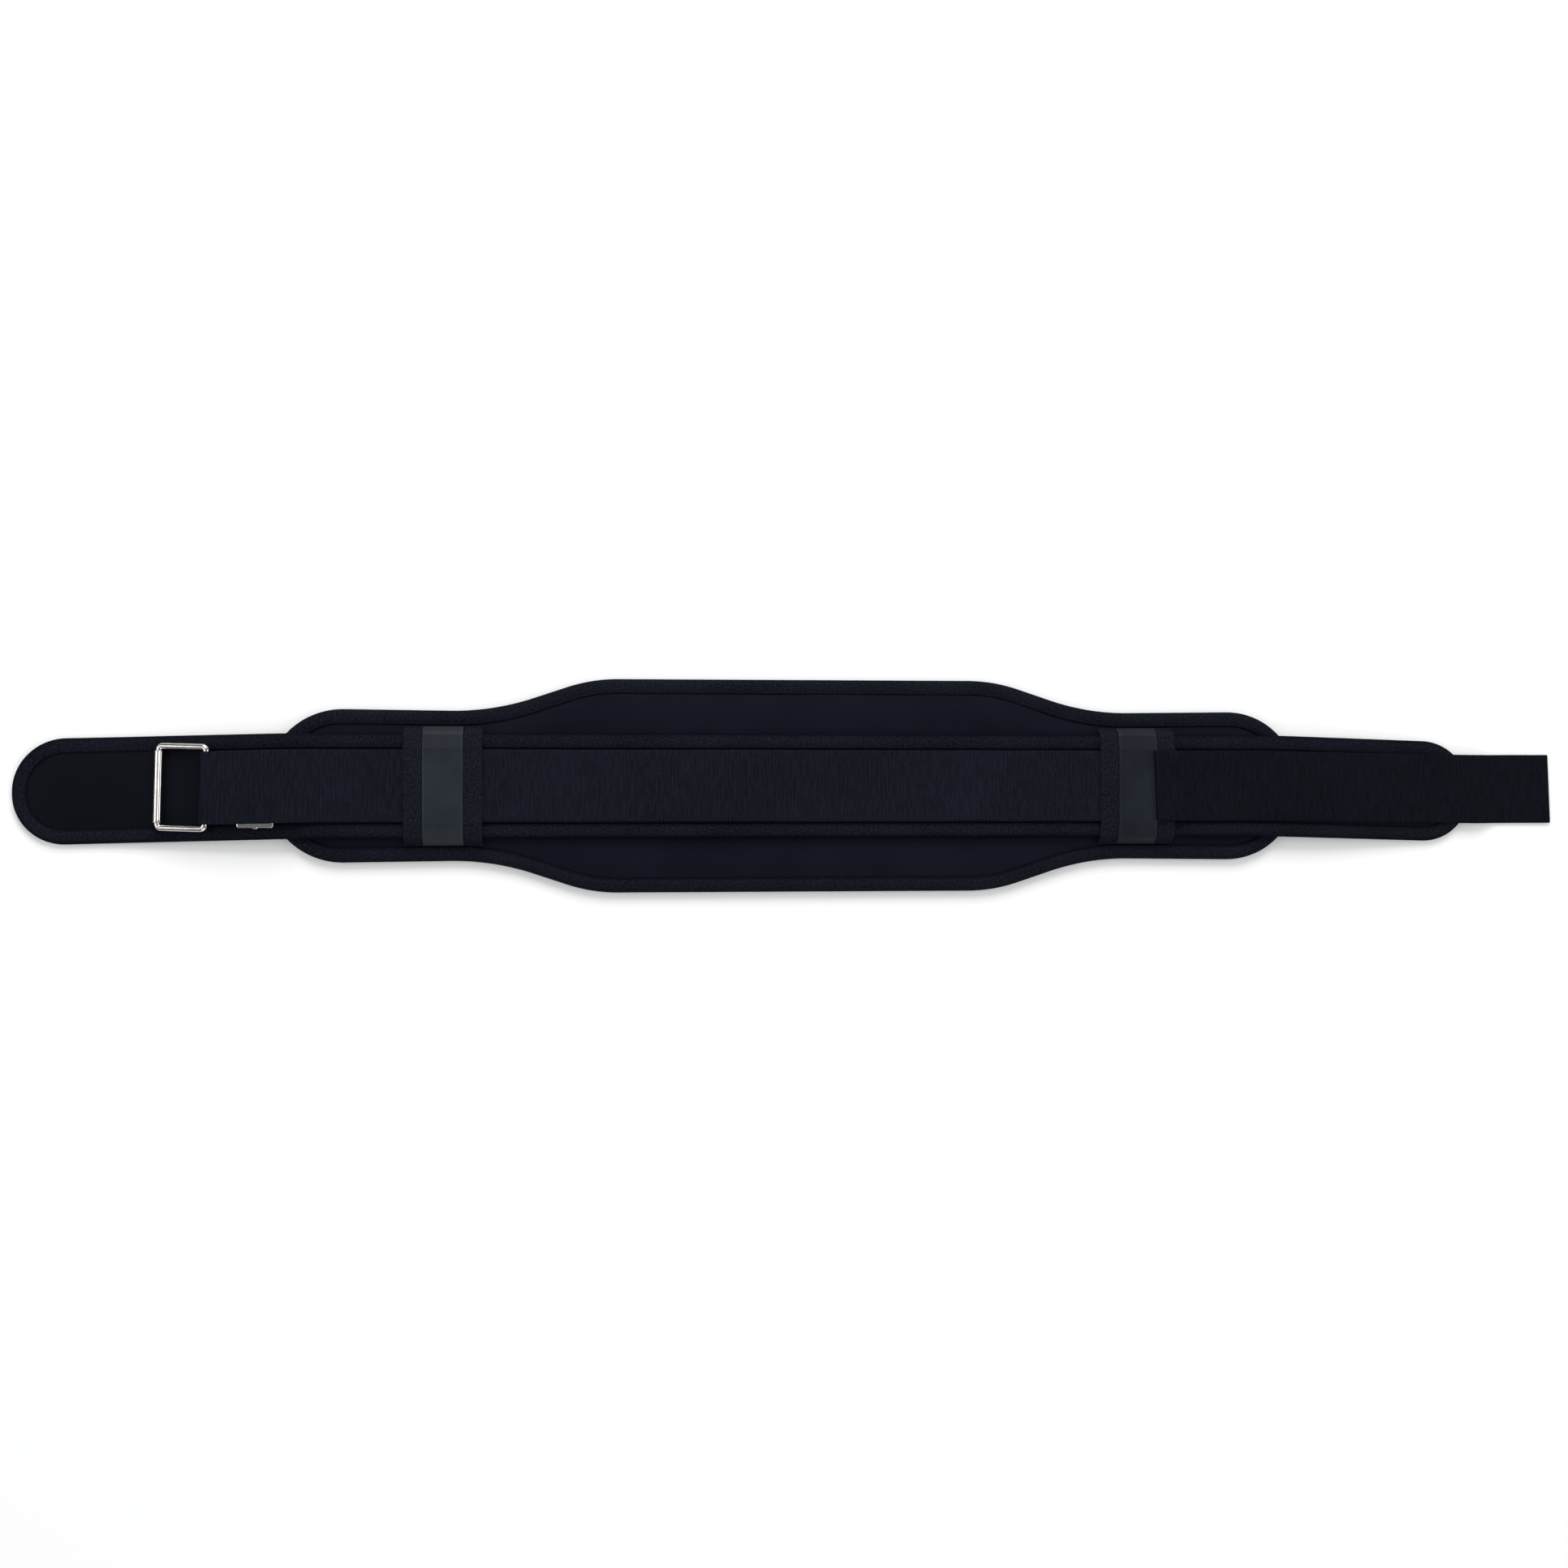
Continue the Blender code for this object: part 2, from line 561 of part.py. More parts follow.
def add_slide(materials):
    """The flat frame that the strap's returning end is threaded through."""
    length, width = SLIDE_LENGTH / 2, (WEBBING_WIDTH + SLIDE_OVERHANG) / 2
    bump = SLIDE_BUMP_WIDTH / 2
    side = [
        (-length, width - SLIDE_BUMP),
        (-length + SLIDE_BUMP, width),
        (-bump, width),
        (-bump / 2, width + SLIDE_BUMP),
        (bump / 2, width + SLIDE_BUMP),
        (bump, width),
        (length - SLIDE_BUMP, width),
        (length, width - SLIDE_BUMP),
    ]
    # The far long side has no bump to show, so it stays straight under the strap
    plain = [(x, y) for x, y in side if y <= width]
    outline = [(x, y) for x, y in plain] + [(x, -y) for x, y in reversed(side)]
    bm = bmesh.new()
    face = bm.faces.new([bm.verts.new((x, y, 0.0)) for x, y in outline])
    raised = bmesh.ops.extrude_face_region(bm, geom=[face])["geom"]
    lifted = [item for item in raised if isinstance(item, bmesh.types.BMVert)]
    bmesh.ops.translate(bm, verts=lifted, vec=(0.0, 0.0, SLIDE_THICKNESS))
    frame = finish_object("slide", mesh_from(bm, "slide"), materials["steel"])

    slope = math.atan((band_top(SLIDE_X + length) - band_top(SLIDE_X - length)) / SLIDE_LENGTH)
    frame.location = (
        SLIDE_X,
        band_bend(SLIDE_X) - slide_shift(),
        band_top(SLIDE_X) + SLIDE_HEIGHT,
    )
    frame.rotation_euler = (0.0, -slope, 0.0)

    slot = (length - 1.5 * SLIDE_BAR) / 2
    for name, direction in (("slot_left", -1), ("slot_right", 1)):
        bm = bmesh.new()
        bmesh.ops.create_cube(bm, size=1.0)
        scale = (2 * slot, 2 * (width - SLIDE_BAR), 4 * SLIDE_THICKNESS)
        bmesh.ops.scale(bm, verts=bm.verts, vec=scale)
        cutter = finish_object(name, mesh_from(bm, name), materials["steel"], frame)
        cutter.location = (direction * (SLIDE_BAR / 2 + slot), 0.0, SLIDE_THICKNESS / 2)
        cutter.hide_render = True
        cutter.display_type = "WIRE"
        cut = frame.modifiers.new(name, "BOOLEAN")
        cut.operation = "DIFFERENCE"
        cut.object = cutter
    bevel = frame.modifiers.new("edges", "BEVEL")
    bevel.width = SLIDE_EDGE_BEVEL
    bevel.segments = 1
    bevel.limit_method = "ANGLE"
    bevel.angle_limit = math.radians(50)


def new_material(name, colour, roughness, metallic):
    """A plain finish of this colour."""
    material = bpy.data.materials.new(name)
    material.use_nodes = True
    shader = material.node_tree.nodes["Principled BSDF"]
    shader.inputs["Base Color"].default_value = (*colour, 1.0)
    shader.inputs["Roughness"].default_value = roughness
    shader.inputs["Metallic"].default_value = metallic
    return material


def make_materials():
    """The belt's finishes: near-black fabrics, dark grey rubber and bright steel."""
    return {
        "pad": new_material("pad_fabric", (0.009, 0.010, 0.017), 0.70, 0.0),
        "band": new_material("band_fabric", (0.007, 0.008, 0.012), 0.80, 0.0),
        "binding": new_material("binding_tape", (0.008, 0.009, 0.014), 0.90, 0.0),
        "webbing": new_material("webbing", (0.009, 0.010, 0.016), 0.85, 0.0),
        "keeper": new_material("keeper_tape", (0.009, 0.010, 0.016), 0.90, 0.0),
        "stripe": new_material("stripe_rubber", (0.023, 0.027, 0.035), 0.55, 0.0),
        "steel": new_material("polished_steel", (0.62, 0.60, 0.58), 0.18, 1.0),
    }


def main():
    for obj in list(bpy.data.objects):
        bpy.data.objects.remove(obj)
    materials = make_materials()
    add_pad(materials)
    add_band(materials)
    add_long_strap(materials)
    add_closing_strap(materials)
    add_keepers(materials)
    add_ring(materials)
    add_slide(materials)


main()
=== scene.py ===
"""The weightlifting belt, dressed: fabrics, stitching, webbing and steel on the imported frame."""
import json
import math

import bpy
import bmesh
from mathutils import Matrix, Vector, noise


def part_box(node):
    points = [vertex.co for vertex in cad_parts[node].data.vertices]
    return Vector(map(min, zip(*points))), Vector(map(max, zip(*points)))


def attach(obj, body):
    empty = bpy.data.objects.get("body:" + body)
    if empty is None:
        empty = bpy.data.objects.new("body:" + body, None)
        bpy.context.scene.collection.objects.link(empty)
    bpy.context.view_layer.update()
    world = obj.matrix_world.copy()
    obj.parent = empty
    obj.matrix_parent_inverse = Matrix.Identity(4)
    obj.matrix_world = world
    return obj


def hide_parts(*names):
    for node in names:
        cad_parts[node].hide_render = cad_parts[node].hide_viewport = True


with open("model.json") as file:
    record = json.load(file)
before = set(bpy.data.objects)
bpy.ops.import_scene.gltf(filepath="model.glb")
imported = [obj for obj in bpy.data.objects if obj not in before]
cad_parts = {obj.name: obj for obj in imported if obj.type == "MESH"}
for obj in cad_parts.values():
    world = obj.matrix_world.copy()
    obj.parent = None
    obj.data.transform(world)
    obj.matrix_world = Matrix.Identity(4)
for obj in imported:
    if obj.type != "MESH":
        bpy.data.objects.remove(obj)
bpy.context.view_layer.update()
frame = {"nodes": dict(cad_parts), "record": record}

# Back pad: a panel of foam between two faces of smooth satin nylon, cut wide in the middle
# with a waist under each keeper and round ends. Its edge is pressed thin under the binding,
# and it swells to its full thickness within two centimetres of the stitching.
PAD_LOW, PAD_HIGH = (Vector(corner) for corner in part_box("back_pad_binding"))
PAD_X = (PAD_LOW.x + PAD_HIGH.x) / 2
PAD_LENGTH = PAD_HIGH.x - PAD_LOW.x
PAD_WIDTH = PAD_HIGH.y - PAD_LOW.y
PAD_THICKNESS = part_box("back_pad")[1][2]
PAD_WIDE_LENGTH = 0.290
PAD_TAPER_LENGTH = 0.070
PAD_WAIST = 0.0529
PAD_SHOULDER = 0.0547
PAD_WIDE_RADIUS = 0.115
PAD_WAIST_RADIUS = 0.177
PAD_END_RADIUS = 0.053
BINDING_WIDTH = 0.0105
OUTLINE_STEP = 0.004
ARC_STEPS = 26
SWELL_WIDTH = 0.016
PANEL_EDGE_INSET = 0.0022
PANEL_TUCK = 0.0012
PANEL_HIDDEN_TOP = 0.79
PANEL_SWELL_START = 0.84
PANEL_SWELL = 0.16
RIPPLE_HEIGHT = 0.00022
RIPPLE_SIZE = 0.055
PUCKER_HEIGHT = 0.00016
PUCKER_SIZE = 0.007
CENTRE_ROWS = 14
PAD_COLOUR = (18, 20, 31)
PAD_COLOUR_DEEP = (12, 14, 23)


def smooth(t):
    """Rises from 0 to 1 as t does, level at both ends."""
    t = min(max(t, 0.0), 1.0)
    return t * t * (3 - 2 * t)


def spread(start, end, count):
    """count + 1 values from start to end, evenly spaced."""
    return [start + (end - start) * i / count for i in range(count + 1)]


def linear(colour):
    """A screen colour of 0 to 255 as the light it stands for, with full alpha."""
    parts = [channel / 255 for channel in colour]
    light = [p / 12.92 if p <= 0.04045 else ((p + 0.055) / 1.055) ** 2.4 for p in parts]
    return (*light, 1.0)


def ripple(x, y, size, seed):
    """Smooth noise between -1 and 1, for the small unevenness of sewn cloth."""
    return noise.noise(Vector((x / size, y / size, seed)))


def rounded_path(corners, steps):
    """Points along a polyline of (a, b, radius) corners, with an arc at each corner that has a radius.

    Each point comes with the path's unit normal, on its left. Straight runs are cut into short steps.
    """
    points = []
    spots = [Vector(corner[:2]) for corner in corners]
    for i, (spot, corner) in enumerate(zip(spots, corners)):
        before = (spot - spots[i - 1]).normalized() if i > 0 else (spots[1] - spot).normalized()
        after = (spots[i + 1] - spot).normalized() if i < len(spots) - 1 else before
        normal = Vector((-before.y, before.x))
        turn = before.angle_signed(after, 0.0) if i else 0.0
        if corner[2] == 0 or abs(turn) < 1e-6:
            points.append((spot, normal))
            continue
        reach = corner[2] * math.tan(abs(turn) / 2)
        for other in (i - 1, i + 1):
            share = 0.5 if corners[other][2] else 0.98
            reach = min(reach, share * (spots[other] - spot).length)
        radius = reach / math.tan(abs(turn) / 2)
        side = math.copysign(1.0, turn)
        centre = spot - before * reach - normal * radius * side
        for step in range(steps + 1):
            leaning = normal.copy()
            leaning.rotate(Matrix.Rotation(-turn * step / steps, 2))
            points.append((centre + leaning * radius * side, leaning))
    path = [points[0]]
    for (a, m), (b, n) in zip(points, points[1:]):
        count = max(1, math.ceil((b - a).length / OUTLINE_STEP))
        path += [(a.lerp(b, k / count), m.lerp(n, k / count).normalized()) for k in range(1, count + 1)]
    return path


def skin(name, rows, close_rows=False, close_ends=False, u_of=None):
    """A mesh over rows of points, with a UV map in metres: U from row to row, V round a row."""
    count = len(rows[0])
    verts = [point for row in rows for point in row]
    across = [0.0]
    for a, b in zip(rows[len(rows) // 2], rows[len(rows) // 2][1:] + rows[len(rows) // 2][:1]):
        across.append(across[-1] + (Vector(b) - Vector(a)).length)
    along = [0.0]
    for a, b in zip(rows, rows[1:] + rows[:1]):
        along.append(along[-1] + (Vector(b[0]) - Vector(a[0])).length)
    if u_of:
        along = u_of + [u_of[-1]]
    faces, spots = [], []
    for i in range(len(rows) if close_ends else len(rows) - 1):
        for j in range(count if close_rows else count - 1):
            k, m = (i + 1) % len(rows), (j + 1) % count
            faces.append((i * count + j, k * count + j, k * count + m, i * count + m))
            spots += [(along[i], across[j]), (along[i + 1], across[j])]
            spots += [(along[i + 1], across[j + 1]), (along[i], across[j + 1])]
    mesh = bpy.data.meshes.new(name)
    mesh.from_pydata(verts, [], faces)
    layer = mesh.uv_layers.new(name="flat")
    for loop, spot in zip(layer.data, spots):
        loop.uv = spot
    piece = bpy.data.objects.new(name, mesh)
    bpy.context.scene.collection.objects.link(piece)
    return piece


def tidy(piece, merge=0.00002, angle=50):
    """Welds the piece's seams, turns its faces outwards and shades it smooth but for its real edges."""
    shape = bmesh.new()
    shape.from_mesh(piece.data)
    bmesh.ops.remove_doubles(shape, verts=shape.verts, dist=merge)
    bmesh.ops.holes_fill(shape, edges=[edge for edge in shape.edges if edge.is_boundary], sides=0)
    bmesh.ops.recalc_face_normals(shape, faces=shape.faces)
    shape.to_mesh(piece.data)
    shape.free()
    piece.data.shade_smooth()
    piece.data.set_sharp_from_angle(angle=math.radians(angle))
    return piece


class Signal:
    """A socket in a node tree that Python's operators join with Math nodes."""

    def __init__(self, graph, socket):
        self.graph, self.socket = graph, socket

    def maths(self, operation, *others):
        settings = {"operation": operation}
        return self.graph.node("ShaderNodeMath", settings, dict(enumerate((self, *others))))

    def __add__(self, other):
        return self.maths("ADD", other)

    def __mul__(self, other):
        return self.maths("MULTIPLY", other)

    def __sub__(self, other):
        return self.maths("SUBTRACT", other)

    def __rsub__(self, other):
        return (self * -1) + other

    __radd__, __rmul__ = __add__, __mul__

    def sine(self):
        return self.maths("SINE")

    def size(self):
        return self.maths("ABSOLUTE")

    def power(self, exponent):
        return self.maths("POWER", exponent)

    def between(self, low, high):
        settings = {"interpolation_type": "SMOOTHSTEP"}
        return self.graph.node("ShaderNodeMapRange", settings, {0: self, 1: low, 2: high})


class Graph:
    """A node tree of one material or one modifier, built by calls."""

    def __init__(self, tree):
        self.tree = tree

    def node(self, kind, settings=None, sockets=None, output=0):
        made = self.tree.nodes.new(kind)
        for key, value in (settings or {}).items():
            setattr(made, key, value)
        for key, value in (sockets or {}).items():
            if isinstance(value, Signal):
                self.tree.links.new(value.socket, made.inputs[key])
            else:
                made.inputs[key].default_value = value
        return Signal(self, made.outputs[output])

    def noise(self, place, scale, detail=2.0, roughness=0.5):
        sockets = {"Vector": place, "Scale": scale, "Detail": detail, "Roughness": roughness}
        return self.node("ShaderNodeTexNoise", None, sockets)

    def mix(self, share, first, second):
        return self.node("ShaderNodeMix", {"data_type": "RGBA"}, {0: share, 6: first, 7: second}, 2)

    def stretched(self, place, scale):
        return self.node("ShaderNodeMapping", None, {"Vector": place, "Scale": scale})

    def place(self):
        return self.node("ShaderNodeTexCoord", None, None, "Object")

    def flat(self):
        return self.node("ShaderNodeUVMap", {"uv_map": "flat"})

    def parts(self, place):
        split = self.node("ShaderNodeSeparateXYZ", None, {0: place})
        made = split.socket.node
        return [Signal(self, socket) for socket in made.outputs]


def finish(name, colour, roughness, height=None, depth=0.0001, metallic=0.0, specular=0.5):
    """A material from signals for its colour and roughness, with height as relief this deep in metres."""
    material = bpy.data.materials.new(name)
    material.use_nodes = True
    graph = Graph(material.node_tree)
    shader = material.node_tree.nodes["Principled BSDF"]
    shader.inputs["Metallic"].default_value = metallic
    shader.inputs["Specular IOR Level"].default_value = specular
    for key, value in (("Base Color", colour(graph)), ("Roughness", roughness(graph))):
        material.node_tree.links.new(value.socket, shader.inputs[key])
    if height:
        sockets = {"Height": height(graph), "Distance": depth, "Strength": 1.0}
        bump = graph.node("ShaderNodeBump", None, sockets)
        material.node_tree.links.new(bump.socket, shader.inputs["Normal"])
    return material


def wear(piece, material):
    """Gives the piece this one material."""
    piece.data.materials.clear()
    piece.data.materials.append(material)
    return piece


def pad_outline():
    """The pad's +Y edge, from its left end to its right end."""
    wide_end = PAD_WIDE_LENGTH / 2
    half = [
        (wide_end, PAD_WIDTH / 2, PAD_WIDE_RADIUS),
        (wide_end + PAD_TAPER_LENGTH, PAD_WAIST, PAD_WAIST_RADIUS),
        (PAD_LENGTH / 2, PAD_SHOULDER, PAD_END_RADIUS),
        (PAD_LENGTH / 2, 0.0, 0.0),
    ]
    corners = [(-x, y, radius) for x, y, radius in reversed(half)] + half
    return rounded_path(corners, ARC_STEPS)


def loop_at(outline, inset, share=0.0):
    """A loop round a panel: this far in from its edge, then this share of the way to its centreline."""
    upper = []
    for point, normal in outline:
        spot = point - normal * inset
        upper.append((spot.x, spot.y * (1 - share)))
    return upper + [(x, -y) for x, y in reversed(upper)]


def foam_panel(name, outline, thickness, lay, crown, seed):
    """A foam panel's closed shell: thin inside its binding, swelling to full thickness, softly uneven."""
    edge = PANEL_EDGE_INSET
    rows = [
        # inset from the outline, share of the way to the centreline, share of the thickness up
        (BINDING_WIDTH, 1.0, 0.02),
        (BINDING_WIDTH, 0.0, 0.02),
        (edge, 0.0, 0.30),
        (edge, 0.0, 0.55),
        (BINDING_WIDTH - PANEL_TUCK, 0.0, PANEL_HIDDEN_TOP),
    ]
    for reach in spread(0.0, 1.0, 8):
        inset = BINDING_WIDTH + reach * SWELL_WIDTH
        rows.append((inset, 0.0, PANEL_SWELL_START + PANEL_SWELL * math.sin(reach * math.pi / 2)))
    last = BINDING_WIDTH + SWELL_WIDTH
    rows += [(last, share, 1.0) for share in spread(0.0, 1.0, CENTRE_ROWS)[1:]]
    loops = []
    for inset, share, height in rows:
        loop = []
        for x, y in loop_at(outline, inset, share):
            z = height * thickness
            if height > PANEL_HIDDEN_TOP:
                near = 1 - smooth((inset - BINDING_WIDTH) / SWELL_WIDTH)
                z += PUCKER_HEIGHT * near * ripple(x, y, PUCKER_SIZE, seed)
                z += RIPPLE_HEIGHT * (ripple(x, y, RIPPLE_SIZE, seed + 3) - 0.6)
                z += crown(x, y)
            loop.append(lay(x, y, z))
        loops.append(loop)
    return tidy(skin(name, loops, close_rows=True), angle=75)


def satin(name, light, deep):
    """Smooth woven nylon with a satin face: a very fine grain and broad, soft changes of tone."""

    def colour(graph):
        broad = graph.noise(graph.place(), 16.0, 3.0, 0.55)
        grain = graph.noise(graph.place(), 1500.0, 2.0, 0.6)
        tone = broad.between(0.25, 0.75) * 0.5 + grain * 0.5
        return graph.mix(tone, linear(deep), linear(light))

    def roughness(graph):
        return graph.noise(graph.place(), 38.0, 3.0) * 0.16 + 0.42

    def height(graph):
        x, y, _ = graph.parts(graph.place())
        twill = ((x + y) * (math.tau / 0.00095)).sine() * 0.25
        return twill + graph.noise(graph.place(), 900.0, 2.0)

    return finish(name, colour, roughness, height, 0.00005, specular=0.03)


def place_pad(x, y, z):
    return (x + PAD_X, y, z)


def pad_crown(x, y):
    """The pad's free lobes, beside the band, stand a little proud; under the band it is pressed flat."""
    return -0.00012 + 0.0004 * smooth((abs(y) - 0.040) / 0.018)


pad_edge = pad_outline()
pad = foam_panel("pad_panel", pad_edge, PAD_THICKNESS, place_pad, pad_crown, 1.0)
wear(pad, satin("pad_satin", PAD_COLOUR, PAD_COLOUR_DEEP))
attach(pad, "belt")
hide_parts("back_pad")

# Pad binding: a woven nylon tape folded over the pad's whole edge, top and underside, and sewn
# through close to its inner edge with one row of lockstitch in black thread.
TAPE_ROWS = [
    # share of the tape's width in from the edge, share of the panel's thickness up
    {"inset": 1.000, "up": 0.905},
    {"inset": 0.970, "up": 0.945},
    {"inset": 0.900, "up": 0.950},
    {"inset": 0.855, "up": 0.915},
    {"inset": 0.800, "up": 0.952},
    {"inset": 0.660, "up": 0.985},
    {"inset": 0.480, "up": 0.990},
    {"inset": 0.330, "up": 0.970},
    {"inset": 0.210, "up": 0.920},
    {"inset": 0.115, "up": 0.835},
    {"inset": 0.045, "up": 0.715},
    {"inset": 0.008, "up": 0.580},
    {"inset": 0.000, "up": 0.440},
    {"inset": 0.020, "up": 0.270},
    {"inset": 0.085, "up": 0.120},
    {"inset": 0.200, "up": 0.030},
    {"inset": 0.350, "up": 0.000},
    {"inset": 1.000, "up": 0.000},
]
TAPE_THICKNESS = 0.0007
TAPE_RIPPLE = 0.00013
TAPE_RELIEF = 0.00011
CLOTH_SPECULAR = 0.02
TAPE_RIPPLE_SIZE = 0.009
STITCH_INSET = 0.855
STITCH_PITCH = 0.0034
STITCH_LENGTH = 0.0025
STITCH_THICKNESS = 0.00050
TAPE_COLOUR = (26, 28, 39)
TAPE_COLOUR_DEEP = (4, 5, 8)
THREAD_COLOUR = (20, 21, 30)
TAPE_THREAD = 0.00085
# Widths of the painted shade at the tape's turned edge and along its sewn inner edge.
TURN_SHADE_WIDTH = 0.0052
SEAM_SHADE_WIDTH = 0.0019


def tape_round(name, outline, thickness, lay, seed):
    """A folded tape's closed shell, its outside as the table says and its inside a wall's thickness in."""
    outside = [(row["inset"] * BINDING_WIDTH, row["up"] * thickness) for row in TAPE_ROWS]
    inside = []
    for inset, up in reversed(outside):
        inside.append((max(inset, TAPE_THICKNESS), min(max(up, TAPE_THICKNESS), 0.80 * thickness)))
    profile = outside + inside
    loops = []
    for place, (inset, up) in enumerate(profile):
        loop = []
        for x, y in loop_at(outline, inset):
            lift = TAPE_RIPPLE * ripple(x, y, TAPE_RIPPLE_SIZE, seed) if place < len(outside) - 3 else 0.0
            loop.append(lay(x, y, up + lift * (1 if up > 0.5 * thickness else 0)))
        loops.append(loop)
    rows = [[loop[i] for loop in loops] for i in range(len(loops[0]))]
    piece = skin(name, rows, close_rows=True, close_ends=True)
    return tidy(piece, angle=60)


def turned_edge(thickness):
    """How far across the tape, from its inner edge, it turns down over the panel's edge."""
    reach = 0.0
    for a, b in zip(TAPE_ROWS, TAPE_ROWS[1:]):
        reach += math.hypot((b["inset"] - a["inset"]) * BINDING_WIDTH, (b["up"] - a["up"]) * thickness)
        if b["inset"] == 0.0:
            return reach


def woven(name, light, deep, thread, edge=None):
    """Plain-woven tape: threads over and under each other, dark between them, and slubs of tone.

    Where it turns over an edge, this far across, it is darkened with painted shade, and it is
    along its sewn inner edge too, where painted shade marks the stitched groove.
    """

    def weave(graph):
        u, v, _ = graph.parts(graph.flat())
        wobble = graph.noise(graph.flat(), 260.0, 2.0) * 1.4
        over = (u * (math.tau / thread) + wobble).sine()
        under = (v * (math.tau / thread) + wobble).sine()
        return over * under * 0.5 + 0.5

    def colour(graph):
        slubs = graph.noise(graph.stretched(graph.flat(), (560.0, 720.0, 1.0)), 1.0, 3.0, 0.75)
        broad = graph.noise(graph.place(), 22.0, 2.0)
        tone = weave(graph) * 0.30 + slubs.between(0.32, 0.68) * 0.84 + (broad - 0.5) * 0.5
        # Painted shade: darker where the tape turns down over the panel's edge and along its sewn inner
        # edge.
        if edge:
            _, v, _ = graph.parts(graph.flat())
            tone = tone * ((v - edge).size().between(0.0, TURN_SHADE_WIDTH) * 0.85 + 0.15)
            tone = tone * (v.between(0.0, SEAM_SHADE_WIDTH) * 0.8 + 0.2)
        return graph.mix(tone, linear(deep), linear(light))

    def roughness(graph):
        return weave(graph) * -0.12 + 0.66

    def height(graph):
        return weave(graph) + graph.noise(graph.flat(), 1900.0, 2.0) * 0.8

    return finish(name, colour, roughness, height, TAPE_RELIEF, specular=CLOTH_SPECULAR)


def sewing_thread(name, colour):
    """Black polyester thread with a slight shine."""

    def tone(graph):
        return graph.mix(graph.noise(graph.place(), 700.0), linear(TAPE_COLOUR_DEEP), linear(colour))

    def roughness(graph):
        return graph.noise(graph.place(), 500.0) * 0.2 + 0.4

    return finish(name, tone, roughness, specular=0.06)


def stitch_tree(thread):
    """A tree that lays stitches end to end along every edge path of its mesh."""
    tree = bpy.data.node_groups.new("lockstitch", "GeometryNodeTree")
    face = tree.interface
    face.new_socket("Path", in_out="INPUT", socket_type="NodeSocketGeometry")
    for label in ("Pitch", "Length", "Thickness"):
        face.new_socket(label, in_out="INPUT", socket_type="NodeSocketFloat")
    face.new_socket("Stitches", in_out="OUTPUT", socket_type="NodeSocketGeometry")
    graph = Graph(tree)
    given = tree.nodes.new("NodeGroupInput")
    path, pitch, length, thickness = (Signal(graph, socket) for socket in given.outputs[:4])
    curve = graph.node("GeometryNodeMeshToCurve", None, {"Mesh": path})
    points = graph.node("GeometryNodeCurveToPoints", {"mode": "LENGTH"}, {"Curve": curve, "Length": pitch})
    turn = Signal(graph, points.socket.node.outputs["Rotation"])
    bead = graph.node("GeometryNodeMeshUVSphere", None, {"Segments": 8, "Rings": 6, "Radius": 0.5})
    shape = graph.node("ShaderNodeCombineXYZ", None, {0: thickness, 1: thickness, 2: length})
    sockets = {"Points": points, "Instance": bead, "Rotation": turn, "Scale": shape}
    laid = graph.node("GeometryNodeInstanceOnPoints", None, sockets)
    real = graph.node("GeometryNodeRealizeInstances", None, {0: laid})
    soft = graph.node("GeometryNodeSetShadeSmooth", None, {0: real})
    done = graph.node("GeometryNodeSetMaterial", None, {"Geometry": soft, "Material": thread})
    out = tree.nodes.new("NodeGroupOutput")
    tree.links.new(done.socket, out.inputs[0])
    return tree


def grown(piece, tree, inputs):
    """The piece as this tree makes it with these named inputs, as one plain mesh."""
    growth = piece.modifiers.new(tree.name, "NODES")
    growth.node_group = tree
    for item in tree.interface.items_tree:
        if item.in_out == "INPUT" and item.name in inputs:
            growth[item.identifier] = inputs[item.name]
    scene = bpy.context.evaluated_depsgraph_get()
    mesh = bpy.data.meshes.new_from_object(piece.evaluated_get(scene))
    piece.modifiers.remove(growth)
    old = piece.data
    piece.data = mesh
    bpy.data.meshes.remove(old)
    mesh.name = piece.name
    return piece


def sewn(name, paths, closed=False):
    """Rows of stitches along these paths of points, as one piece of thread."""
    verts, edges = [], []
    for path in paths:
        start = len(verts)
        verts += path
        edges += [(start + i, start + i + 1) for i in range(len(path) - 1)]
        if closed:
            edges.append((len(verts) - 1, start))
    mesh = bpy.data.meshes.new(name)
    mesh.from_pydata(verts, edges, [])
    piece = bpy.data.objects.new(name, mesh)
    bpy.context.scene.collection.objects.link(piece)
    inputs = {"Pitch": STITCH_PITCH, "Length": STITCH_LENGTH, "Thickness": STITCH_THICKNESS}
    return grown(piece, STITCHES, inputs)


def binding_stitches(name, outline, thickness, lay):
    """The row of stitches near the tape's inner edge, on the upper side."""
    up = TAPE_ROWS[3]["up"] * thickness + STITCH_THICKNESS * 0.25
    loop = [lay(x, y, up) for x, y in loop_at(outline, STITCH_INSET * BINDING_WIDTH)]
    return sewn(name, [loop], closed=True)


THREAD = sewing_thread("black_thread", THREAD_COLOUR)
STITCHES = stitch_tree(THREAD)
PAD_TURN = turned_edge(PAD_THICKNESS)
PAD_TAPE = woven("pad_tape_weave", TAPE_COLOUR, TAPE_COLOUR_DEEP, TAPE_THREAD, PAD_TURN)
pad_tape = wear(tape_round("pad_tape", pad_edge, PAD_THICKNESS, place_pad, 5.0), PAD_TAPE)
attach(pad_tape, "belt")
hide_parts("back_pad_binding")
pad_thread = binding_stitches("pad_tape_stitches", pad_edge, PAD_THICKNESS, place_pad)
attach(pad_thread, "belt")

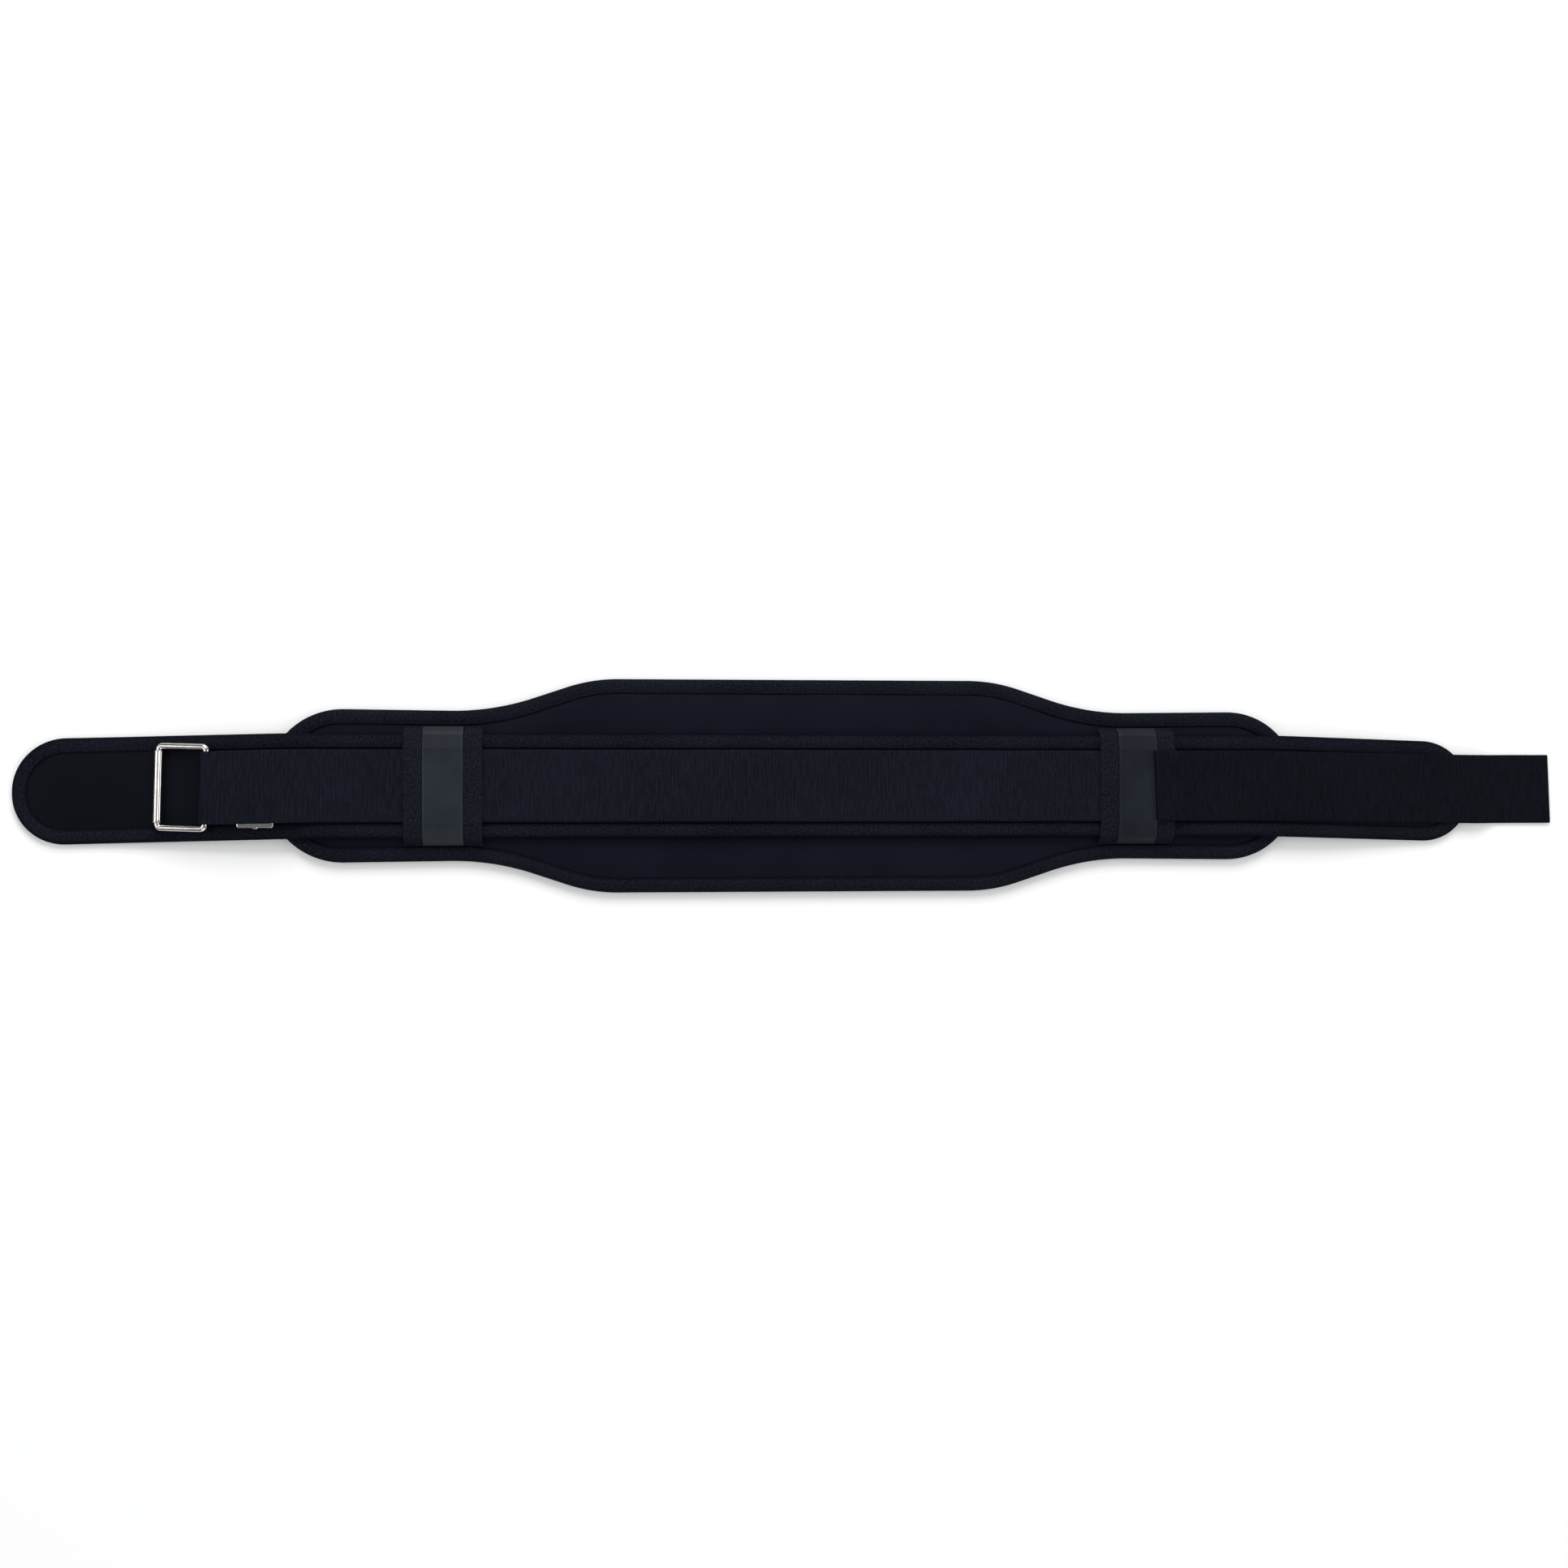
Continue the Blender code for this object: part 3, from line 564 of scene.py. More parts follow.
# Band: the long foam strip that goes round the waist, in the same nylon, bound all round in the
# same tape. It sinks from the pad to the floor past both ends, and its left end is the bare tongue.
BAND_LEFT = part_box("belt_band_binding")[0][0]
BAND_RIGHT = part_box("belt_band_binding")[1][0]
BAND_WIDTH = 0.074
BAND_THICKNESS = 0.005
BAND_CORNER_RADIUS = 0.0362
GAP = 0.0003
DROOP_LENGTH = 0.125
PAD_REST_INSET = 0.006
BEND_INSET = 0.044
BEND_EASE = 0.040
TONGUE_BEND = 0.024
BAND_END_BEND = 0.0315
# Painted shade: the band's nylon, the same as the pad's, gets deeper colours, as the light falls off
# towards the belt's ends.
BAND_SHADED_COLOUR = (13, 15, 22)
BAND_SHADED_COLOUR_DEEP = (9, 11, 17)


def band_rise(x):
    """Height of the band's underside: on the pad in the middle, and down to the floor past its ends."""
    from_left = (x - (PAD_LOW.x + PAD_REST_INSET - DROOP_LENGTH)) / DROOP_LENGTH
    from_right = ((PAD_HIGH.x - PAD_REST_INSET + DROOP_LENGTH) - x) / DROOP_LENGTH
    return GAP + PAD_THICKNESS * smooth(min(from_left, from_right))


def band_top(x):
    """Height of the band's upper face."""
    return band_rise(x) + BAND_THICKNESS


def eased(distance):
    """A straight slope that starts gently at 0."""
    distance = max(distance, 0.0)
    if distance < BEND_EASE:
        return distance * distance / (2 * BEND_EASE)
    return distance - BEND_EASE / 2


def band_bend(x):
    """Sideways place of the band's centreline, which drifts a little at both ends."""
    left = eased(PAD_LOW.x + BEND_INSET - x)
    right = eased(x - (PAD_HIGH.x - BEND_INSET))
    return -TONGUE_BEND * left - BAND_END_BEND * right


def place_band(x, y, z):
    return (x, y + band_bend(x), z + band_rise(x))


def band_outline():
    """The band's +Y edge, from the tip of the tongue to its hidden right end."""
    half = BAND_WIDTH / 2
    corners = [
        (BAND_LEFT, 0.0, 0.0),
        (BAND_LEFT, half, BAND_CORNER_RADIUS),
        (BAND_RIGHT, half, BAND_CORNER_RADIUS),
        (BAND_RIGHT, 0.0, 0.0),
    ]
    return rounded_path(corners, ARC_STEPS)


def band_crown(x, y):
    return 0.0


band_edge = band_outline()
band = foam_panel("band_panel", band_edge, BAND_THICKNESS, place_band, band_crown, 7.0)
# The band's satin, with painted shade in its deeper colours.
wear(band, satin("band_satin_shaded", BAND_SHADED_COLOUR, BAND_SHADED_COLOUR_DEEP))
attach(band, "belt")
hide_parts("belt_band")

BAND_TURN = turned_edge(BAND_THICKNESS)
BAND_TAPE = woven("band_tape_weave", TAPE_COLOUR, TAPE_COLOUR_DEEP, TAPE_THREAD, BAND_TURN)
band_tape = wear(tape_round("band_tape", band_edge, BAND_THICKNESS, place_band, 9.0), BAND_TAPE)
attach(band_tape, "belt")
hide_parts("belt_band_binding")
band_thread = binding_stitches("band_tape_stitches", band_edge, BAND_THICKNESS, place_band)
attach(band_thread, "belt")

# Long strap: two-inch nylon webbing with fine ribs across it. It lies along the band from under
# the right keeper, passes over the slide, folds round the ring's right bar and comes back under
# itself to be threaded through the slide.
WEBBING_WIDTH = 0.0508
WEBBING_THICKNESS = 0.0018
RIB_PITCH = 0.0014
RIB_HEIGHT = 0.00016
RIB_STEPS = 4
WEBBING_RELIEF = 0.00010
WEBBING_ROUND = 0.0003
SELVEDGE = 0.0016
EDGE_WANDER = 0.0003
EDGE_WANDER_LENGTH = 0.03
WEBBING_COLOUR = (27, 30, 40)
WEBBING_COLOUR_DEEP = (4, 5, 8)
KEEPER_WIDTH = 0.055
WEBBING_END_INSET = 0.010
SLIDE_LENGTH = 0.0252
SLIDE_BAR = 0.0028
SLIDE_THICKNESS = 0.0020
SLIDE_OVERHANG = 0.0028
RING_WIRE = 0.0044
RETURN_SIDE_GAP = 0.0004
SLIDE_BAR_ROOM = 0.0009
RETURN_END_LENGTH = 0.006
STRAP_LANDING_LENGTH = 0.032
LEAN_FADE = 0.022
joints = {joint["name"]: joint for joint in frame["record"]["behaviour"]["joints"]}
RING_PIVOT = Vector(joints["ring_fold"]["pos_m"])
RING_AXIS = Vector(joints["ring_fold"]["axis"]).normalized()
ROLLER_AXLE = Vector(joints["roller_spin"]["pos_m"])
RING_LEAN = math.atan2(RING_AXIS.x, RING_AXIS.y)
KEEPER_LEFT_X = sum(corner[0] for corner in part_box("keeper_left")) / 2
KEEPER_RIGHT_X = sum(corner[0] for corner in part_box("keeper_right")) / 2
SLIDE_X = sum(corner[0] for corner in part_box("slide")) / 2
RING_BAR_X = RING_PIVOT.x
RETURN_HEIGHT = GAP + WEBBING_THICKNESS / 2
SLIDE_HEIGHT = 2 * GAP + WEBBING_THICKNESS
OVER_SLIDE_HEIGHT = SLIDE_HEIGHT + SLIDE_THICKNESS + GAP + WEBBING_THICKNESS / 2
RING_BAR_HEIGHT = RING_PIVOT.z - band_top(RING_BAR_X)
FOLD_RADIUS = RING_BAR_HEIGHT - RETURN_HEIGHT
SLIDE_SHIFT = SLIDE_OVERHANG / 2 + GAP


def raised_strap_height(x):
    """Height of the strap's middle above the band: raised over ring and slide, then down on the band."""
    landing = SLIDE_X + SLIDE_LENGTH / 2
    raised = RING_BAR_HEIGHT + FOLD_RADIUS
    return raised + (RETURN_HEIGHT - raised) * smooth((x - landing) / STRAP_LANDING_LENGTH)


def return_height(x):
    """Height of the returning end's middle above the band: under the slide's ends, over its middle bar."""
    slot = SLIDE_LENGTH / 2 - 1.5 * SLIDE_BAR
    distance = abs(x - SLIDE_X) - SLIDE_BAR / 2
    return OVER_SLIDE_HEIGHT + (RETURN_HEIGHT - OVER_SLIDE_HEIGHT) * smooth(distance / slot)


def webbing(name, spine, thickness, cloth):
    """A webbing strap's closed, ribbed shell from rows (x, z, side, half width, lean).

    The rows are evened out to a few per rib, so that the ribs can be raised afterwards.
    """
    path = [Vector((row[0], row[1])) for row in spine]
    reach = [0.0]
    for a, b in zip(path, path[1:]):
        reach.append(reach[-1] + (b - a).length)
    count = round(reach[-1] / RIB_PITCH) * RIB_STEPS
    rows, along, k = [], [], 0
    half_wall = thickness / 2
    for step in range(count + 1):
        here = reach[-1] * step / count
        while k < len(reach) - 2 and reach[k + 1] < here:
            k += 1
        share = (here - reach[k]) / (reach[k + 1] - reach[k])
        x, z, side, half, lean = (a + (b - a) * share for a, b in zip(spine[k], spine[k + 1]))
        before, after = path[max(k - 1, 0)], path[min(k + 2, len(path) - 1)]
        course = (path[k + 1] - path[k]).normalized().lerp((after - before).normalized(), 0.6)
        up = Vector((-course.y, course.x)).normalized()
        row = []
        across = [-half, -half + WEBBING_ROUND, -half + SELVEDGE]
        across += spread(-half + SELVEDGE, half - SELVEDGE, 9)[1:-1]
        across += [half - SELVEDGE, half - WEBBING_ROUND, half]
        tall = [0.45, 0.86, 1.0] + [1.0] * 8 + [1.0, 0.86, 0.45]
        side += EDGE_WANDER * ripple(here, half, EDGE_WANDER_LENGTH, 4.0)
        for y, share_up in zip(across, tall):
            rise = half_wall * share_up
            row.append((x + lean * y + up.x * rise, side + y, z + up.y * rise))
        for y, share_up in zip(reversed(across), reversed(tall)):
            rise = half_wall * share_up
            row.append((x + lean * y - up.x * rise, side + y, z - up.y * rise))
        rows.append(row)
        along.append(step * RIB_PITCH / RIB_STEPS)
    piece = skin(name, rows, close_rows=True, u_of=along)
    ribs = piece.data.attributes.new("along", "FLOAT", "POINT")
    inner = piece.data.attributes.new("inner", "FLOAT", "POINT")
    wide = len(rows[0]) // 2
    for i, here in enumerate(along):
        fade = min(1.0, i / 3, (count - i) / 3)
        for j in range(len(rows[0])):
            ribs.data[i * len(rows[0]) + j].value = here
            from_edge = min(j % wide, wide - 1 - j % wide)
            inner.data[i * len(rows[0]) + j].value = fade * (0.0, 0.55, 1.0)[min(from_edge, 2)]
    inputs = {"Rib pitch": RIB_PITCH, "Rib height": RIB_HEIGHT, "Cloth": cloth}
    return tidy(grown(piece, RIBS, inputs), merge=0.000004, angle=70)


def rib_tree():
    """A tree that raises a rounded rib every pitch along a strap, and sinks the furrows between."""
    tree = bpy.data.node_groups.new("webbing_ribs", "GeometryNodeTree")
    face = tree.interface
    face.new_socket("Strap", in_out="INPUT", socket_type="NodeSocketGeometry")
    for label in ("Rib pitch", "Rib height"):
        face.new_socket(label, in_out="INPUT", socket_type="NodeSocketFloat")
    face.new_socket("Cloth", in_out="INPUT", socket_type="NodeSocketMaterial")
    face.new_socket("Ribbed strap", in_out="OUTPUT", socket_type="NodeSocketGeometry")
    graph = Graph(tree)
    given = tree.nodes.new("NodeGroupInput")
    strap, pitch, height, cloth = (Signal(graph, socket) for socket in given.outputs[:4])
    along = graph.node("GeometryNodeInputNamedAttribute", {"data_type": "FLOAT"}, {"Name": "along"})
    inner = graph.node("GeometryNodeInputNamedAttribute", {"data_type": "FLOAT"}, {"Name": "inner"})
    furrow = (along.maths("DIVIDE", pitch) * math.pi).sine().size().power(0.6) - 1.0
    normal = graph.node("GeometryNodeInputNormal")
    depth = furrow * height * inner
    offset = graph.node("ShaderNodeVectorMath", {"operation": "SCALE"}, {0: normal, "Scale": depth})
    moved = graph.node("GeometryNodeSetPosition", None, {"Geometry": strap, "Offset": offset})
    real = graph.node("GeometryNodeRealizeInstances", None, {0: moved})
    done = graph.node("GeometryNodeSetMaterial", None, {"Geometry": real, "Material": cloth})
    out = tree.nodes.new("NodeGroupOutput")
    tree.links.new(done.socket, out.inputs[0])
    return tree


def ribbed(name, light, deep, pitch):
    """Heavy nylon webbing: painted shade in furrows between ribs, yarns on each rib, streaks across it."""

    def furrow(graph):
        u, _, _ = graph.parts(graph.flat())
        return (u * (math.pi / pitch)).sine().size().power(0.6)

    def yarns(graph):
        u, v, _ = graph.parts(graph.flat())
        return ((v * (math.tau / 0.0008)) + (u * (math.pi / pitch))).sine() * 0.5 + 0.5

    def colour(graph):
        streaks = graph.noise(graph.stretched(graph.flat(), (700.0, 70.0, 1.0)), 1.0, 3.0, 0.7)
        specks = graph.noise(graph.flat(), 760.0, 3.0, 0.75)
        broad = graph.noise(graph.place(), 14.0, 2.0)
        # Painted shade: the furrows between the ribs are darkened.
        tone = furrow(graph) * 0.58 + streaks.between(0.34, 0.66) * 0.36 + specks.between(0.34, 0.66) * 0.26
        return graph.mix(tone + (broad - 0.5) * 0.3 - 0.18, linear(deep), linear(light))

    def roughness(graph):
        return furrow(graph) * -0.14 + 0.70

    def height(graph):
        return yarns(graph) * 0.7 + graph.noise(graph.flat(), 1800.0, 2.0) * 0.8

    return finish(name, colour, roughness, height, WEBBING_RELIEF, specular=CLOTH_SPECULAR)


def long_strap_spine():
    """The strap's course, from its hidden right end to the ring, round it, and back through the slide."""
    end = KEEPER_RIGHT_X + KEEPER_WIDTH / 2 - WEBBING_END_INSET
    landing = SLIDE_X + SLIDE_LENGTH / 2
    slide_left = SLIDE_X - SLIDE_LENGTH / 2
    slide_right = SLIDE_X + SLIDE_LENGTH / 2
    course = [(x, RETURN_HEIGHT) for x in spread(end, landing + STRAP_LANDING_LENGTH, 120)]
    course += [(x, raised_strap_height(x)) for x in spread(landing + STRAP_LANDING_LENGTH, landing, 30)[1:]]
    course += [(x, raised_strap_height(x)) for x in spread(landing, RING_BAR_X, 24)[1:-1]]
    for angle in spread(math.pi / 2, math.pi * 3 / 2, 28):
        x = RING_BAR_X + FOLD_RADIUS * math.cos(angle)
        course.append((x, RING_BAR_HEIGHT + FOLD_RADIUS * math.sin(angle)))
    turn = len(course)
    course += [(x, RETURN_HEIGHT) for x in spread(RING_BAR_X, slide_left + SLIDE_BAR, 10)[1:]]
    in_slide = spread(slide_left + SLIDE_BAR, slide_right - SLIDE_BAR, 36)
    course += [(x, return_height(x)) for x in in_slide[1:]]
    past_slide = spread(slide_right - SLIDE_BAR, slide_right + RETURN_END_LENGTH, 4)
    course += [(x, RETURN_HEIGHT) for x in past_slide[1:]]
    narrow = (WEBBING_WIDTH + SLIDE_OVERHANG) / 2 - SLIDE_BAR - RETURN_SIDE_GAP - SLIDE_BAR_ROOM
    rows = []
    for i, (x, height) in enumerate(course):
        tuck = smooth((x - RING_BAR_X) / (slide_left - RING_BAR_X)) if i >= turn else 0.0
        half = WEBBING_WIDTH / 2 + (narrow - WEBBING_WIDTH / 2) * tuck
        lean = math.tan(RING_LEAN) * (1 - smooth((x - RING_BAR_X) / LEAN_FADE))
        ground = band_top(RING_BAR_X) if abs(x - RING_BAR_X) <= FOLD_RADIUS else band_top(x)
        rows.append((x, ground + height, band_bend(x) - SLIDE_SHIFT * tuck, half, lean))
    return rows


RIBS = rib_tree()
WEBBING = ribbed("webbing_ribbed", WEBBING_COLOUR, WEBBING_COLOUR_DEEP, RIB_PITCH)
long_strap = webbing("strap_webbing", long_strap_spine(), WEBBING_THICKNESS - GAP / 2, WEBBING)
wear(long_strap, WEBBING)
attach(long_strap, "belt")
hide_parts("long_strap")

# Closing strap: the webbing that is pulled through the ring to close the belt. Its sewn start lies
# on the right keeper; the rest is loose, lies along the band and ends cut square on the floor.
CLOSING_LEFT, CLOSING_RIGHT = (corner[0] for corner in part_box("closing_strap"))
CLOSING_THICKNESS = 0.0022
CLOSING_BEND_SHARE = 0.5
CLOSING_STEP_LENGTH = 0.006
CLOSING_DROP_START = 0.002
CLOSING_DROP_LENGTH = 0.012
TAIL_DROP_LENGTH = 0.022
CUT_SLANT = 0.042
STRIPE_WIDTH = 0.028
STRIPE_THICKNESS = 0.0008
KEEPER_THICKNESS = 0.0012
START_STITCH_INSETS = (0.0028, 0.0052)
START_STITCH_SIDE_INSET = 0.0022
STITCH_SINK = 0.0001
# Painted shade: the closing strap is the long strap's webbing in deeper colours, for the light falling off
# towards the belt's end.
CLOSING_SHADED_COLOUR = (20, 23, 31)
CLOSING_SHADED_COLOUR_DEEP = (3, 4, 6)
KEEPER_EDGE_Z = band_top(0.0) + GAP + KEEPER_THICKNESS / 2
KEEPER_TOP_Z = KEEPER_EDGE_Z + WEBBING_THICKNESS + GAP
STRIPE_EDGE = KEEPER_RIGHT_X + STRIPE_WIDTH / 2
CLOSING_DROP = KEEPER_RIGHT_X + KEEPER_WIDTH / 2 + CLOSING_DROP_START


def closing_height(x):
    """Height of the closing strap's middle: on the stripe's edge, the keeper, the band, then the floor."""
    on_keeper = KEEPER_TOP_Z + KEEPER_THICKNESS / 2 + GAP + CLOSING_THICKNESS / 2
    on_stripe = on_keeper + STRIPE_THICKNESS + GAP
    on_band = band_top(min(x, BAND_RIGHT)) + GAP + CLOSING_THICKNESS / 2
    on_floor = GAP + CLOSING_THICKNESS / 2
    height = on_stripe + (on_keeper - on_stripe) * smooth((x - STRIPE_EDGE - GAP) / CLOSING_STEP_LENGTH)
    height += (on_band - height) * smooth((x - CLOSING_DROP) / CLOSING_DROP_LENGTH)
    return height + (on_floor - height) * smooth((x - BAND_RIGHT) / TAIL_DROP_LENGTH)


def closing_bend(x):
    """Sideways place of the closing strap's centreline."""
    return CLOSING_BEND_SHARE * band_bend(min(x, BAND_RIGHT))


def closing_spine():
    """The closing strap's course, slanted as its ends are cut."""
    slant = CUT_SLANT * WEBBING_WIDTH / 2
    rows = []
    for x in spread(CLOSING_LEFT + slant, CLOSING_RIGHT - slant, 240):
        rows.append((x, closing_height(x), closing_bend(x), WEBBING_WIDTH / 2, -CUT_SLANT))
    return rows


# The closing strap's webbing, with painted shade in its deeper colours.
CLOSING_SHADED_WEBBING = ribbed("webbing_ribbed_shaded", CLOSING_SHADED_COLOUR, CLOSING_SHADED_COLOUR_DEEP, RIB_PITCH)
closing = webbing("closing_webbing", closing_spine(), CLOSING_THICKNESS - GAP / 2, CLOSING_SHADED_WEBBING)
wear(closing, CLOSING_SHADED_WEBBING)
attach(closing, "belt")
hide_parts("closing_strap")


def across_strap(inset):
    """A path across the closing strap's start, just above its face."""
    path = []
    half = WEBBING_WIDTH / 2
    for y in spread(-half + START_STITCH_SIDE_INSET, half - START_STITCH_SIDE_INSET, 12):
        x = CLOSING_LEFT + CUT_SLANT * WEBBING_WIDTH / 2 + inset
        z = closing_height(x) + CLOSING_THICKNESS / 2 - STITCH_SINK
        path.append((x - CUT_SLANT * y, closing_bend(x) + y, z))
    return path


closing_thread = sewn("closing_stitches", [across_strap(inset) for inset in START_STITCH_INSETS])
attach(closing_thread, "belt")

# Keepers: two loops of woven tape over band and webbing, sewn to the pad along both feet. They
# hold the band to the pad and let it slide through.
KEEPER_FOOT_ROOM = 0.0054
KEEPER_FOOT_LENGTH = 0.0015
KEEPER_SHOULDER_RADIUS = 0.006
KEEPER_EDGE_RADIUS = 0.003
KEEPER_FOOT_RADIUS = 0.002
KEEPER_FOOT_Z = PAD_THICKNESS + GAP + KEEPER_THICKNESS / 2
KEEPER_COLOUR = (28, 31, 41)
KEEPER_COLOUR_DEEP = (5, 6, 9)
KEEPER_THREAD = 0.00095
KEEPER_STITCH_INSET = 0.0030
KEEPER_STITCH_FOOT_INSET = 0.0009
KEEPER_SOFT_EDGE = 0.0016
KEEPER_RIPPLE = 0.00006
KEEPER_RIPPLE_SIZE = 0.011


def keeper_path():
    """A keeper's middle from one foot to the other, as (y, z) with its normal."""
    foot_end = BAND_WIDTH / 2 + KEEPER_FOOT_ROOM - GAP
    half = [
        (WEBBING_WIDTH / 2 + GAP + KEEPER_THICKNESS / 2, KEEPER_TOP_Z, KEEPER_SHOULDER_RADIUS),
        (BAND_WIDTH / 2 - GAP, KEEPER_EDGE_Z, KEEPER_EDGE_RADIUS),
        (foot_end - KEEPER_FOOT_LENGTH, KEEPER_FOOT_Z, KEEPER_FOOT_RADIUS),
        (foot_end, KEEPER_FOOT_Z, 0.0),
    ]
    corners = [(-y, z, radius) for y, z, radius in reversed(half)] + half
    return rounded_path(corners, 8)


def over_belt(name, x, width, thickness, raised, edge, seed):
    """A strip's closed shell over the belt at x, its middle raised above the keeper's, with soft edges."""
    across = [-width / 2, -width / 2 + edge * 0.35, -width / 2 + edge]
    across += spread(-width / 2 + edge, width / 2 - edge, 18)[1:-1]
    across += [width / 2 - edge, width / 2 - edge * 0.35, width / 2]
    tall = [0.35, 0.80, 1.0] + [1.0] * 17 + [1.0, 0.80, 0.35]
    rows = []
    for place, normal in keeper_path():
        row = []
        for side in (1, -1):
            for offset, share in list(zip(across, tall))[::side]:
                rise = raised + side * thickness / 2 * share
                rise += KEEPER_RIPPLE * ripple(x + offset, place.x, KEEPER_RIPPLE_SIZE, seed)
                row.append((x + offset, place.x + normal.x * rise, place.y + normal.y * rise))
        rows.append(row)
    return tidy(skin(name, rows, close_rows=True), merge=0.000004, angle=60)


def keeper_stitches(name, x, width, inset, above):
    """Rows of stitches across both feet of a keeper."""
    lines = []
    for side in (1, -1):
        y = side * (BAND_WIDTH / 2 + KEEPER_FOOT_ROOM - GAP - KEEPER_STITCH_FOOT_INSET)
        lines.append([(x + dx, y, above) for dx in spread(-width / 2 + inset, width / 2 - inset, 8)])
    return sewn(name, lines)


KEEPER_TAPE = woven("keeper_weave", KEEPER_COLOUR, KEEPER_COLOUR_DEEP, KEEPER_THREAD)
for side, x in (("left", KEEPER_LEFT_X), ("right", KEEPER_RIGHT_X)):
    thickness = KEEPER_THICKNESS - GAP / 3
    keeper = over_belt(f"keeper_tape_{side}", x, KEEPER_WIDTH, thickness, 0.0, KEEPER_SOFT_EDGE, x)
    wear(keeper, KEEPER_TAPE)
    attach(keeper, "belt")
    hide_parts(f"keeper_{side}")
    above = KEEPER_FOOT_Z + KEEPER_THICKNESS / 2
    seam = keeper_stitches(f"keeper_stitches_{side}", x, KEEPER_WIDTH, KEEPER_STITCH_INSET, above)
    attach(seam, "belt")

# Keeper stripes: smooth dark grey rubber tape along the middle of each keeper, over its full
# height, with a thin rolled edge at both sides that is painted paler as a highlight.
# Painted light and shade: both stripes are the same rubber, in a lit tone on the left keeper and a shaded
# one on the right.
STRIPE_LIT_AND_SHADED_COLOURS = {
    # the paler colour, then the deeper one
    "left": ((39, 44, 51), (28, 32, 38)),
    "right": ((29, 33, 41), (19, 22, 30)),
}
STRIPE_EDGE_WIDTH = 0.0016
STRIPE_FULL_HIGHLIGHT_WIDTH = 0.0004
STRIPE_SINK = 0.0002


def rubber(name, x, light, deep):
    """Smooth matt rubber: a fine grain, soft blotches, and a painted highlight along both rolled edges."""

    def colour(graph):
        across, _, _ = graph.parts(graph.place())
        half = STRIPE_WIDTH / 2
        # Painted highlight: the stripe is paler towards both of its rolled edges.
        edge = (across - x).size().between(half - STRIPE_EDGE_WIDTH, half - STRIPE_FULL_HIGHLIGHT_WIDTH)
        blotch = graph.noise(graph.place(), 34.0, 3.0)
        grain = graph.noise(graph.place(), 1100.0, 2.0)
        tone = blotch.between(0.3, 0.7) * 0.5 + grain * 0.2 + edge * 0.5
        return graph.mix(tone, linear(deep), linear(light))

    def roughness(graph):
        return graph.noise(graph.place(), 60.0, 2.0) * 0.14 + 0.40

    def height(graph):
        return graph.noise(graph.place(), 1500.0, 3.0)

    return finish(name, colour, roughness, height, 0.00004, specular=0.10)


for side, x in (("left", KEEPER_LEFT_X), ("right", KEEPER_RIGHT_X)):
    raised = KEEPER_THICKNESS / 2 + GAP + STRIPE_THICKNESS / 2 - STRIPE_SINK
    name = f"stripe_{side}"
    stripe = over_belt(name, x, STRIPE_WIDTH, STRIPE_THICKNESS, raised, STRIPE_EDGE_WIDTH, x + 1)
    wear(stripe, rubber(f"stripe_rubber_{side}", x, *STRIPE_LIT_AND_SHADED_COLOURS[side]))
    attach(stripe, "belt")
    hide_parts(f"keeper_stripe_{side}")

# Roller ring: a rectangle of bright nickel-plated steel wire, its right bar held in the strap's fold.
# A rolled steel tube turns on its left bar, so that the closing strap runs round it easily.
RING_SIDE_GAP = 0.0008
RING_CORNER_RADIUS = 0.003
ROLLER_WALL = 0.0006
ROLLER_SEAM_WIDTH = 0.00035
ROLLER_SEAM_ANGLE = math.radians(62)
STEEL_COLOUR = (205, 200, 195)
STEEL_COLOUR_DEEP = (184, 180, 176)
WIRE_SIDES = 24
ROLLER_SIDES = 72
ring_x = (RING_PIVOT - ROLLER_AXLE).normalized()
RING_SPACING = (RING_PIVOT - ROLLER_AXLE).length
ring_up = ring_x.cross(RING_AXIS).normalized()


def in_ring(x, y, z=0.0):
    """A place in the ring's own plane: x from its right bar, y along the bars, z above the plane."""
    return tuple(RING_PIVOT + ring_x * x + RING_AXIS * y + ring_up * z)


def steel(name):
    """Nickel-plated steel: bright, very slightly clouded, with fine draw marks."""

    def colour(graph):
        cloud = graph.noise(graph.place(), 160.0, 3.0, 0.6)
        return graph.mix(cloud.between(0.35, 0.7), linear(STEEL_COLOUR), linear(STEEL_COLOUR_DEEP))

    def roughness(graph):
        return graph.noise(graph.place(), 300.0, 4.0, 0.65) * 0.14 + 0.09

    def height(graph):
        return graph.noise(graph.place(), 420.0, 3.0, 0.6)

    return finish(name, colour, roughness, height, 0.000014, metallic=1.0)


def ring_shell():
    """The ring's wire as a closed tube round a rectangle with rounded corners."""
    half = WEBBING_WIDTH / 2 + RING_SIDE_GAP + RING_WIRE / 2
    corner = RING_CORNER_RADIUS
    loop = [
        (-RING_SPACING / 2, half, 0.0),
        (0.0, half, corner),
        (0.0, -half, corner),
        (-RING_SPACING, -half, corner),
        (-RING_SPACING, half, corner),
        (-RING_SPACING / 2, half, 0.0),
    ]
    rows = []
    for place, normal in rounded_path(loop, 14)[:-1]:
        row = []
        for angle in spread(0.0, math.tau, WIRE_SIDES)[:-1]:
            spot = place + normal * (RING_WIRE / 2 * math.cos(angle))
            row.append(in_ring(spot.x, spot.y, RING_WIRE / 2 * math.sin(angle)))
        rows.append(row)
    return tidy(skin("ring_wire", rows, close_rows=True, close_ends=True), merge=0.000001)


